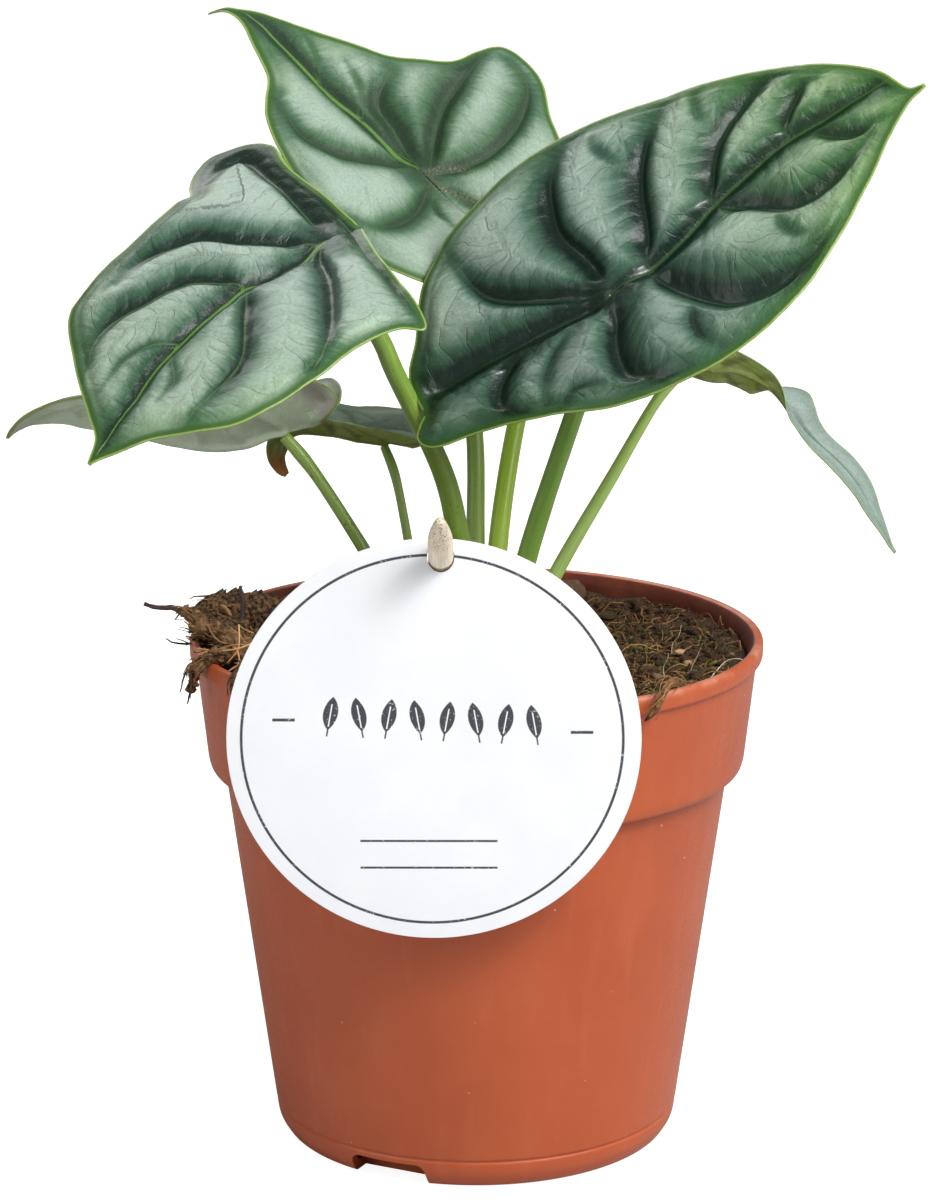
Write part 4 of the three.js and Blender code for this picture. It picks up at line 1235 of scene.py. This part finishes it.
# Moss patches: middle, spread and number of shoots
MOSS_PATCHES = [
    ((38.6, -3.4), 1.6, 130), ((33, -22), 1.8, 120), ((37.5, -21.5), 1.6, 120),
    ((41, -21), 1.5, 90), ((36, 8), 2.5, 110), ((30, -34), 3.0, 80), ((46, 12), 3.0, 80),
    ((28, 24), 4.0, 90), ((45, -8), 2.5, 70), ((-30, 12), 6.0, 60), ((5, 36), 6.0, 60),
    ((-10, -30), 6.0, 40), ((-38, -20), 4.0, 40),
]
# Root hairs that stand up from the soil, and the root that hangs over the rim
PALE_HAIRS = [
    [(43.9, -17, 102.5), (44.3, -17.6, 105), (45.6, -17.1, 107.6), (46.3, -17.8, 110)],
    [(38.7, -14.6, 102), (38.6, -14.2, 104), (39.4, -14.6, 105.8), (39.5, -14.4, 107)],
    [(41.1, 3.1, 102), (41.3, 4.2, 104), (42.6, 3.8, 106), (43.1, 4.8, 108)],
    [(46.6, -24.5, 103), (50.8, -21.5, 107), (53.8, -22.8, 108), (55, -20.1, 106)],
]
# A chip and a lump that lie apart: place and size
TAN_CHIP = (42.6, 2.9, 1.15)
GREY_LUMP = (20.5, 48, 4)
RIM_ROOT = [(42, -33, 104), (40, -40, 107.4), (38.2, -45.4, 108.8), (36.9, -49, 107.6),
            (35.6, -50.4, 105.4), (34.2, -51.1, 103.6)]
CRUMBS = 1700
CHIPS = 70
LOOSE_FIBRES = 1250
RIM_STRANDS = 60
PEAT, COIR, MOSS, ROOT_HAIR, BARK = range(5)
PEAT_DARK = (0.012, 0.006, 0.003)
PEAT_BROWN = (0.15, 0.074, 0.029)
TAN_BIT = (0.36, 0.2, 0.085)
MOSSY = (0.07, 0.075, 0.018)


def fibre_material(name, dull, bright, roughness=0.75):
    """Dry fibre whose colour follows its tone, with fine lines and worn ends."""
    bench = MaterialBench(name, Specular_IOR_Level=0.25)
    tone = bench.parts(bench.stored("tone"))[0]
    place = bench.place()
    wear = bench.noise(place, 1.1, 3.0)
    mixed = tone + (wear - 0.5) * 0.9
    colour = bench.blend(bench.math("ADD", mixed, 0.0, clamp=True), dull, bright)
    height = bench.noise(place, 5.0, 2.0) * 0.06
    return bench.dress(colour, bench.fade(wear, 0.3, 0.7, roughness, roughness + 0.15), height)


def peat_material():
    bench = MaterialBench("peat", Specular_IOR_Level=0.3)
    place = bench.place()
    crumbs = bench.noise(place, 0.9, 6.0, 0.75)
    colour = bench.coats(
        bench.mottle(crumbs, 0.35, 0.68, PEAT_DARK, PEAT_BROWN),
        (bench.fade(bench.noise(place, 2.6, 4.0, 0.7), 0.55, 0.66, 0.0, 0.7), TAN_BIT),
        (bench.fade(bench.noise(place, 0.11, 3.0), 0.5, 0.66, 0.0, 0.5), MOSSY),
    )
    height = crumbs * 1.6 + bench.noise(place, 3.5) * 0.4
    return bench.dress(colour, bench.fade(crumbs, 0.3, 0.7, 0.7, 0.92), height)


def soil_materials():
    """Peat, coir, moss, root hair and bark, in the order of the numbers that shapes carry."""
    return [
        peat_material(),
        fibre_material("coir_fibre", (0.025, 0.011, 0.005), (0.52, 0.27, 0.1)),
        fibre_material("moss", (0.015, 0.016, 0.004), (0.19, 0.15, 0.035), 0.65),
        fibre_material("pale_root_hair", (0.36, 0.27, 0.17), (0.78, 0.72, 0.6), 0.55),
        fibre_material("bark_chip", (0.1, 0.055, 0.03), (0.5, 0.3, 0.17)),
    ]


def soil_height(x, y):
    """The top of the soil above each place, in mm."""
    flat = np.column_stack([x, y])
    reach = np.hypot(x, y)
    clods = 1.0 * lumps(flat, 0.1, 4.0, 2) + 0.75 * lumps(flat, 0.32, 11.0, 3)
    banked = 2.5 * smoothstep(reach, 41, 56) * (0.25 + 0.75 * smoothstep(x, -5, 35))
    return SOIL_TOP - 0.4 + clods + banked


def soil_spot(radius=55.0):
    """A random place on the soil."""
    reach = radius * math.sqrt(chance.random())
    angle = chance.random() * 2 * math.pi
    return reach * math.cos(angle), reach * math.sin(angle)


def lay_fibre(heap, start, length, thick, material, tone, arch=1.2, wander=0.35):
    """A fibre that wanders over the soil in a low arch."""
    steps = max(6, int(length / 1.3))
    turns = chance.random() * 2 * math.pi + np.cumsum(chance.normal(0, wander, steps))
    x = start[0] + np.cumsum(np.cos(turns)) * length / (steps - 1)
    y = start[1] + np.cumsum(np.sin(turns)) * length / (steps - 1)
    keep = np.minimum(1, 55.4 / np.maximum(np.hypot(x, y), 1))
    x, y = x * keep, y * keep
    t = np.linspace(0, 1, steps)
    z = soil_height(x, y) + thick * 0.4 + arch * np.sin(math.pi * t) * chance.random()
    z[0] -= 1.0
    radii = thick * (0.35 + 0.65 * np.sin(math.pi * (t * 0.8 + 0.1)))
    heap.add(tube(np.column_stack([x, y, z]), radii, 4), material, tone)


def chip_shape(centre, size, stretch, seed, rough=0.35, rings=5, sides=12):
    """A small uneven lump."""
    turn = np.linspace(-math.pi / 2, math.pi / 2, rings + 2)
    points, faces = turned(list(zip(np.cos(turn), np.sin(turn))), sides)
    points = points * (1 + rough * lumps(points, 1.1, seed, 2))[:, None]
    return points * np.array(stretch) * size + np.array(centre), faces


def soil_body():
    """The plug of soil: its lumpy top, its side by the pot, and its foot."""
    sides, rings = 220, 84
    angle = ring_angles(sides)
    radii = SOIL_RADIUS * np.linspace(0.01, 1, rings)
    x = (radii[:, None] * np.cos(angle)).ravel()
    y = (radii[:, None] * np.sin(angle)).ravel()
    top = np.column_stack([x, y, soil_height(x, y)])
    lower = [(SOIL_RADIUS - 0.5, 96), (54.2, 82.5), (51, 78.8), (40.2, 6), (34, 5.6), (34, 2.4)]
    skirt = [[radius * math.cos(a), radius * math.sin(a), z] for radius, z in lower for a in angle]
    middle_z = soil_height([0], [0])[0]
    points = np.vstack([top, skirt, [[0, 0, middle_z], [0, 0, 2.4]]])
    rows = rings + len(lower)
    faces = [tuple(reversed(face)) for face in grid_faces(rows, sides, closed=True)]
    middle = len(points) - 2
    last = (rows - 1) * sides
    for k in range(sides):
        following = (k + 1) % sides
        faces.append((middle, k, following))
        faces.append((middle + 1, last + following, last + k))
    return points, faces


def soil_lump(heap, size, material, tone, rings, sides):
    """A crumb or chip that lies in the top of the soil."""
    x, y = soil_spot(54)
    centre = (x, y, soil_height([x], [y])[0] + size * 0.25)
    stretch = (1, chance.uniform(0.5, 0.95), chance.uniform(0.4, 0.8))
    shape = chip_shape(centre, size, stretch, chance.uniform(0, 50), 0.45, rings, sides)
    heap.add(shape, material, tone)


def soil_litter(materials):
    """Loose coir, moss and root hairs on the soil, and the root that hangs over the rim."""
    litter = Bundle()
    for _ in range(LOOSE_FIBRES):
        length = chance.uniform(3, 12)
        spot = soil_spot()
        if chance.random() < 0.35:
            spot = (chance.uniform(14, 52), chance.uniform(-40, 40))
        lay_fibre(litter, spot, length, chance.uniform(0.05, 0.18), COIR,
                  chance.beta(1.2, 2.3), chance.uniform(0.2, 1.5) + 2 * chance.random() ** 5)
    for centre, spread, count in MOSS_PATCHES:
        for _ in range(count):
            spot = np.array(centre) + chance.normal(0, spread, 2)
            lay_fibre(litter, spot, chance.uniform(1.2, 3), chance.uniform(0.15, 0.36), MOSS,
                      chance.beta(1.4, 2.4), chance.uniform(0.3, 1.4), 0.7)
    for course in PALE_HAIRS:
        litter.add(tube(smooth_line(course, 26), np.linspace(0.11, 0.05, 26), 6), ROOT_HAIR,
                   chance.random())
    points, faces = tube(smooth_line(RIM_ROOT, 60), np.linspace(1.0, 0.55, 60), 18)
    points = points + 0.8 * lumps(points, 0.9, 4.0, 4)[:, None]
    litter.add((points, faces), COIR, 0.3)
    for _ in range(RIM_STRANDS):
        line = strand(RIM_ROOT, 0.6, 0.35, 9)
        litter.add(tube(line, chance.uniform(0.06, 0.16) * np.linspace(1, 0.5, 9), 4), COIR,
                   chance.beta(2, 2))
    litter.piece("soil_fibres", "soil", materials)


def soil():
    materials = soil_materials()
    ground = Bundle()
    ground.add(soil_body(), PEAT)
    for _ in range(CRUMBS):
        size = chance.uniform(0.4, 1.3) + 1.3 * chance.random() ** 6
        soil_lump(ground, size, PEAT, 0.5, 3, 8)
    x, y, size = GREY_LUMP
    ground.add(chip_shape((x, y, SOIL_TOP + 2), size, (1, 0.8, 0.9), 9.0), BARK, 0.0)
    for _ in range(CHIPS):
        soil_lump(ground, chance.uniform(0.5, 1.2), BARK, 0.7 * chance.random(), 5, 12)
    x, y, size = TAN_CHIP
    centre = (x, y, soil_height([x], [y])[0] + 0.9)
    ground.add(chip_shape(centre, size, (1, 0.8, 0.6), 3.0, 0.6, 9, 18), BARK, 0.9)
    ground.piece("potting_soil", "soil", materials, ["soil"])
    soil_litter(materials)


FIBRE, TWIG = range(2)
CORE_POINTS = 60
CRUMBS_PER_MM = 40
# Lobes of the root tuft: course, thickness of its matted core, number of fibres, their
# spread, how far they stray, brightest tone
TUFT_LOBES = [
    ([(-35, 9, 104), (-42, 10, 107), (-50, 8, 109.5), (-56, 4, 110.5), (-59, 2, 110)], 4.9, 460,
     2.2, 0.45, 0.5),
    ([(-40, -6, 103), (-47, -5, 105.5), (-53, -5, 108), (-58, -6, 108.8)], 3.9, 380, 1.8, 0.45,
     0.5),
    ([(-44, -15, 106), (-49, -14.5, 108.8), (-54.5, -13, 111.5), (-58.3, -11.8, 113.8),
      (-60.8, -11, 115.6)], 1.7, 170, 0.8, 0.3, 1.0),
    ([(-45, -20, 107), (-50, -23, 108.9), (-54.5, -24.5, 108.6), (-57, -24, 106),
      (-58.8, -21.5, 100.3)], 1.5, 150, 0.6, 0.28, 0.9),
    ([(-43, -26, 108), (-46, -33, 109.6), (-47.8, -37.3, 108), (-48, -38.5, 105),
      (-47.2, -39.8, 102.5)], 1.3, 110, 0.6, 0.3, 0.8),
    ([(-46, -2, 104), (-50, -1, 108), (-54, 0, 110), (-56.5, 1, 109.5)], 1.6, 110, 1.2, 0.5,
     0.8),
    ([(-45, -10, 104), (-49, -14, 106), (-53, -15, 106.5), (-57, -13.5, 104.5)], 1.3, 130, 0.9,
     0.45, 0.95),
]
FORKED_ROOT = [
    [(-48.3, -24, 115.5), (-48.2, -25, 112.5), (-48.6, -25.5, 110.4), (-50.6, -26, 108)],
    [(-48.6, -25.5, 110.4), (-48.2, -26, 108.6), (-49, -27, 106.8)],
    [(-45.5, -24, 111.6), (-48.4, -25.3, 110.8), (-51.8, -25, 110.2)],
]
TWIGS = [
    ([(-56, -7, 110.5), (-59.6, -6, 113.2), (-61.3, -6, 113.4), (-62.9, -6, 114.4),
      (-64.8, -6, 114.4), (-67, -6, 114.6), (-69, -6, 115.3)], 0.75, 0.45),
    ([(-49.5, -3, 108), (-48.9, -1.5, 112), (-48.8, -1, 115.5), (-49.4, 0, 117.6)], 0.6, 0.3),
]


def strand(course, spread, stray, steps):
    """One curly fibre that crosses a bundle and is drawn back to its course."""
    line = even_line(course, np.linspace(0, 1, 40))
    at = chance.uniform(0, 30)
    here = line[int(at)] + spread * np.clip(chance.normal(0, 1, 3), -1.4, 1.4)
    heading = chance.normal(0, stray, 3)
    reach = chance.uniform(0.3, 1.1)
    points = []
    for _ in range(steps):
        index = min(int(at), 38)
        ahead = line[index + 1] - line[index]
        ahead = ahead / np.linalg.norm(ahead)
        heading = 0.75 * heading + chance.normal(0, 0.55 * stray, 3) + 0.25 * ahead
        here = here + reach * heading + 0.12 * (line[index] - here)
        points.append(here)
        at += reach * max(heading.dot(ahead), 0) * 2
    return smooth_line(points, steps)


def tuft_lobe(heap, course, thick, count, spread, stray, bright):
    """A matted core with crumbs on it, and the curly fibres that cover it."""
    core = smooth_line(course, CORE_POINTS)
    t = np.linspace(0, 1, CORE_POINTS)
    girth = thick * (0.12 + 0.88 * np.sin(math.pi * np.clip(t * 0.72 + 0.24, 0, 1)) ** 0.8)
    points, faces = tube(core, girth, 30)
    points = points + 0.62 * thick**0.6 * lumps(points, 0.5, thick, 5)[:, None]
    matted = 0.1 if thick > 2 else 0.2 * bright
    heap.add((points, faces), FIBRE, matted)
    for _ in range(int(CRUMBS_PER_MM * thick)):
        index = int(chance.integers(3, CORE_POINTS - 3))
        away = chance.normal(0, 1, 3)
        away *= chance.uniform(0.7, 1.05) / np.linalg.norm(away)
        spot = core[index] + girth[index] * away
        shape = chip_shape(spot, chance.uniform(0.25, 0.95), (1, 0.8, 0.7),
                           chance.uniform(0, 50), 0.45, 3, 7)
        heap.add(shape, FIBRE, 0.6 * matted + 0.3 * chance.beta(1, 2.5) * bright)
    for _ in range(count):
        steps = int(chance.integers(5, 12))
        line = strand(course, spread, stray, steps)
        taper = 0.4 + 0.6 * np.sin(math.pi * np.linspace(0.12, 0.95, steps))
        radii = chance.uniform(0.05, 0.3) * taper
        heap.add(tube(line, radii, 4), FIBRE, 1.5 * bright * chance.beta(1.2, 1.8) ** 1.6)


def root_tuft():
    """Dried roots and coir fibres that hang over the rim, matted round dark cores."""
    heap = Bundle()
    for lobe in TUFT_LOBES:
        tuft_lobe(heap, *lobe)
    for course in FORKED_ROOT:
        heap.add(tube(smooth_line(course, 24), np.linspace(0.22, 0.09, 24), 6), FIBRE, 1.1)
    for course, thick, thin in TWIGS:
        line = smooth_line(course, 34)
        radii = np.linspace(thick, thin, 34) * (1 + 0.16 * lumps(line, 0.9, 2.0))
        heap.add(tube(line, radii, 10), TWIG, 0.35)
    root = fibre_material("dry_root_fibre", (0.01, 0.005, 0.003), (0.72, 0.39, 0.16))
    twig = fibre_material("dark_twig", (0.025, 0.018, 0.015), (0.12, 0.08, 0.06), 0.6)
    heap.piece("hanging_roots", "roots", [root, twig], ["root_tuft"])


# Crown

CROWN_BARK = (0.09, 0.055, 0.025)
CROWN_GREEN = (0.27, 0.3, 0.1)
CROWN_RINGS = 26


def crown():
    """A short fleshy stem with the rings that old stalks leave."""
    bench = MaterialBench("crown_flesh", Specular_IOR_Level=0.35)
    bands = bench.noise(bench.stretch(bench.place(), 0.25, 0.25, 1.4), 1.0, 3.0)
    colour = bench.mottle(bands, 0.35, 0.65, CROWN_BARK, CROWN_GREEN)
    rough = bench.fade(bands, 0.3, 0.7, 0.5, 0.7)
    material = bench.dress(colour, rough, bands * 0.4)
    low, high = CROWN["foot"], CROWN["top"]
    profile = [(0, low)]
    for t in np.linspace(0, 0.985, CROWN_RINGS):
        ring = 0.35 * math.sin(t * CROWN_RINGS) * (1 - t)
        profile.append((CROWN["radius"] * (1 - t**4) ** 0.5 + ring, low + (high - low) * t))
    profile.append((0, high))
    points, faces = turned(profile, 56)
    lean = 1 + 0.09 * lumps(points, 0.22, 6.0)
    points[:, :2] *= lean[:, None]
    points += np.array([CROWN["x"], CROWN["y"], 0])
    make_piece("plant_crown", (points, faces), [material], ["crown"])


# Card and stick

INK = (0.055, 0.057, 0.066)
PAPER = (0.86, 0.875, 0.91)
PAPER_LIGHT = (0.9, 0.91, 0.93)
CARD_SIDES = 200
HOLE_GAP = 0.22
RING_RADIUS = 37.35
# The printed leaves stand in one row that falls a little to the right
ROW_START = -23.1
ROW_HEIGHT = 4.2
ROW_TILT = 0.042
ROW_LEAVES = 8
LEAF_PITCH = 5.7
# Dashes and rules: place from the card's middle, half width and half height
DASHES = [(-29.35, 4.2, 2.2, 0.3), (28.95, 1.74, 2.2, 0.3)]
RULES = [(-1.0, -20.5, 13.5, 0.22), (-1.0, -26.0, 13.5, 0.22)]


def line_mask(bench, distance, half):
    """One within a half width of zero distance, with soft edges."""
    return bench.fade(abs(distance), half + 0.06, half - 0.06)


def box_mask(bench, u, v, half_u, half_v):
    return line_mask(bench, u, half_u) * line_mask(bench, v, half_v)


def pointed_oval(bench, u, v, half_length, half_width):
    """One inside the pointed oval of a plain leaf."""
    offset = (half_length**2 - half_width**2) / (2 * half_width)
    across = abs(u) + offset
    reach = bench.math("SQRT", across * across + v * v)
    return bench.fade(reach, offset + half_width + 0.08, offset + half_width - 0.08)


def leaf_row(bench, u, v):
    """One inside the row of plain printed leaves, each with its stem and midrib slit."""
    cell = (u - ROW_START) / LEAF_PITCH
    within = bench.math("FRACT", cell) - 0.5
    lean = bench.math("MODULO", bench.math("FLOOR", cell), 2.0) - 0.5
    rise = v + u * ROW_TILT - ROW_HEIGHT
    sideways = within * LEAF_PITCH + lean * rise * 0.35
    blade = pointed_oval(bench, sideways, rise - 0.5, 3.4, 1.45)
    slit = box_mask(bench, sideways, rise - 0.1, 0.13, 2.3)
    stem = box_mask(bench, sideways, rise + 3.2, 0.16, 1.0)
    in_row = bench.math("GREATER_THAN", cell, 0.0) * bench.math("LESS_THAN", cell, ROW_LEAVES)
    return (blade * (1.0 - slit) + stem) * in_row


def card_material():
    """White coated card with worn grey print on its front: a ring, two dashes, leaves, rules."""
    bench = MaterialBench("printed_card", Specular_IOR_Level=0.4)
    place = bench.place()
    x, y, z = bench.parts(place)
    u = x - CARD["x"]
    v = z - CARD["z"]
    from_middle = u + 0.33
    squares = from_middle * from_middle + v * v
    ink = line_mask(bench, bench.math("SQRT", squares) - RING_RADIUS, 0.27)
    for across, up, half_across, half_up in DASHES + RULES:
        ink = ink + box_mask(bench, u - across, v - up, half_across, half_up)
    ink = bench.math("MINIMUM", ink + leaf_row(bench, u, v), 1.0)
    worn = bench.fade(bench.noise(place, 1.9, 4.0, 0.7), 0.3, 0.4)
    ink = ink * worn * bench.math("LESS_THAN", y, CARD["y"])
    paper = bench.mottle(bench.noise(place, 0.07), 0.3, 0.7, PAPER, PAPER_LIGHT)
    fibre = bench.noise(place, 2.6, 4.0)
    height = fibre * 0.012 + ink * -0.006
    colour = bench.blend(ink, paper, INK)
    return bench.dress(colour, bench.fade(fibre, 0.3, 0.7, 0.42, 0.55), height)


def stick_line(low, high, steps):
    """Points along the stick's axis, counted from the card towards its end."""
    rise = math.radians(STICK["rise"])
    axis = np.array([0, -math.cos(rise), math.sin(rise)])
    middle = np.array([STICK["x"], STICK["y"], STICK["z"]])
    return middle + np.linspace(low, high, steps)[:, None] * axis


def card():
    """The round card, upright, with the hole that the stick goes through."""
    half = CARD["thickness"] / 2
    radius = CARD["radius"]
    outline = [(0, -half, 0), (20, -half, 0), (radius, -half, 0.12), (radius, half, 0.12),
               (20, half, 0), (0, half, 0)]
    points, faces = turned(rounded(outline), CARD_SIDES)
    upright = np.column_stack([points[:, 0], -points[:, 2], points[:, 1]])
    upright += np.array([CARD["x"], CARD["y"], CARD["z"]])
    piece = make_piece("round_card", (upright, faces), [card_material()], ["label_card"])
    cut_out(piece, [tube(stick_line(-6, 6, 4), [STICK["radius"] + HOLE_GAP] * 4, 40)])
    smooth(piece, sharp=30)


BAMBOO_DEEP = (0.8, 0.67, 0.46)
BAMBOO_LIGHT = (0.97, 0.89, 0.73)
BAMBOO_STRAND = (0.4, 0.27, 0.14)
BAMBOO_CUT = (0.86, 0.76, 0.58)
BAMBOO_PORE = (0.42, 0.22, 0.09)
HOLE_SHADE = (0.3, 0.2, 0.11)
DAMP_FOOT = (0.2, 0.12, 0.06)
# The stick narrows over its last stretch to a blunt end
TAPER = 14
STICK_SIDES = 48


def bamboo_material():
    """Pale strands along the stick, pores at its cut end, darker at the card and by its foot."""
    bench = MaterialBench("bamboo", Specular_IOR_Level=0.35)
    run, around = bench.parts(bench.stored("grain"))[:2]
    lines_at = bench.vector(run * 0.12, around * 3.2)
    lines = bench.noise(lines_at, 1.0, 3.0)
    strands = bench.cells(bench.vector(run * 0.05, around * 1.9), 1.0)
    cut = bench.fade(run, STICK["ahead"] - 12.5, STICK["ahead"] - 10.5)
    pores = cut * bench.fade(bench.cells(bench.place(), 1.9), 0.42, 0.2)
    colour = bench.coats(
        bench.mottle(lines, 0.35, 0.7, BAMBOO_DEEP, BAMBOO_LIGHT),
        (bench.fade(strands, 0.6, 0.85, 0.0, 0.2), BAMBOO_STRAND),
        (cut * 0.35, BAMBOO_CUT),
        (pores * 0.8, BAMBOO_PORE),
        (bench.fade(run, 0.75, 0.35), HOLE_SHADE),
        (bench.fade(run, -18.0, -34.0, 0.0, 0.6), DAMP_FOOT),
    )
    height = lines * 0.14 + strands * 0.05 + pores * -0.15
    return bench.dress(colour, bench.fade(lines, 0.3, 0.7, 0.45, 0.6), height)


def bamboo_stick():
    """A round stick with faint flutes that narrows to a blunt, frayed end."""
    sides = STICK_SIDES
    body = np.linspace(-STICK["behind"], STICK["ahead"] - 1, 132)
    reach = np.concatenate([body, STICK["ahead"] - np.linspace(0.9, 0.02, 14)])
    rings = len(reach)
    axis = stick_line(0, 1, 2)
    line = axis[0] + reach[:, None] * (axis[1] - axis[0])
    to_end = np.minimum((STICK["ahead"] - reach) / TAPER, 1)
    blunt = np.minimum(STICK["ahead"] - reach, 1)
    radius = STICK["radius"] * (0.36 + 0.64 * np.sin(math.pi / 2 * to_end))
    radius *= 0.3 + 0.7 * np.sqrt(1 - (1 - blunt) ** 2)
    angle = ring_angles(sides)
    around = np.column_stack([np.cos(angle), np.sin(angle)]) * 2.2
    flutes = 0.022 * lumps(around, 1.6, 8.0)
    ends = np.column_stack([np.repeat(reach * 0.5, sides), np.tile(around, (rings, 1))])
    frayed = 0.05 * lumps(ends, 0.8, 3.0).reshape(rings, sides)
    squash = 1 + flutes[None] + frayed * smoothstep(reach, 12, 20)[:, None]
    piece = make_piece("stick", tube(line, radius, sides, squash),
                       [bamboo_material()], ["bamboo_stick"])
    turn = np.abs(angle - math.pi) * STICK["radius"]
    give(piece, "grain", np.repeat(reach, sides), np.tile(turn, rings))


# Studio

CAMERA = {"place": (0, -0.840, 0.327), "down": 14.19, "turn": 0.17, "lens": 124.4, "sensor": 36}
# Lights: place, the height on the pot's axis that they aim at, width and power
LIGHTS = {
    "key": ((0.72, -0.58, 0.93), 0.13, 0.95, 17),
    "sparkle": ((0.5, -0.75, 0.95), 0.15, 0.22, 3.6),
    "fill": ((-0.95, -0.6, 0.45), 0.13, 0.9, 3.2),
    "back_light": ((-0.3, 0.9, 0.9), 0.15, 0.8, 3),
}


def camera():
    data = bpy.data.cameras.new("camera")
    data.lens = CAMERA["lens"]
    data.sensor_width = CAMERA["sensor"]
    data.sensor_fit = "AUTO"
    data.clip_end = 60
    made = put("camera", data)
    made.location = CAMERA["place"]
    made.rotation_euler = (math.radians(90 - CAMERA["down"]), 0, math.radians(CAMERA["turn"]))
    scene.camera = made


def floor():
    """A wide floor, plain white to the camera, that sends some of the light back up."""
    reach = 12000
    corners = [(-reach, -reach, 0), (reach, -reach, 0), (reach, reach, 0), (-reach, reach, 0)]
    mesh = new_mesh("floor", corners, [(0, 1, 2, 3)])
    bench = MaterialBench("white_floor", Specular_IOR_Level=0.0, Roughness=1.0)
    bench.shader["Base Color"].default_value = (0.5, 0.5, 0.5, 1)
    bench.shader["Emission Color"].default_value = (1, 1, 1, 1)
    seen = bench.result("Is Camera Ray", "LightPath")
    bench.feed(bench.shader["Emission Strength"], seen * 0.9)
    mesh.materials.append(bench.material)
    made = put("floor", mesh)


def area_light(name, place, aim_height, size, power):
    data = bpy.data.lights.new(name, "AREA")
    data.shape = "DISK"
    data.size = size
    data.energy = power
    made = put(name, data)
    made.location = place
    aim = Vector((0, 0, aim_height)) - Vector(place)
    made.rotation_euler = aim.to_track_quat("-Z", "Y").to_euler()


def studio():
    camera()
    floor()
    for name, settings in LIGHTS.items():
        area_light(name, *settings)
    world = bpy.data.worlds.new("white_room")
    scene.world = world
    world.use_nodes = True
    bench = Bench(world.node_tree)
    background = world.node_tree.nodes["Background"]
    background.inputs["Color"].default_value = (1, 1, 1, 1)
    seen = bench.result("Is Camera Ray", "LightPath")
    bench.feed(background.inputs["Strength"], seen * 0.74 + 0.26)
    scene.view_settings.view_transform = "Standard"


def build():
    studio()
    leaf_skins = [leaf_top_material(), leaf_underside_material(), leaf_edge_material()]
    for name in LEAVES:
        leaf(name, leaf_skins)
    stalk_group = stalk_skin_group()
    for name in STALKS:
        stalk(name, stalk_group)
    pot()
    soil()
    root_tuft()
    crown()
    card()
    bamboo_stick()


build()
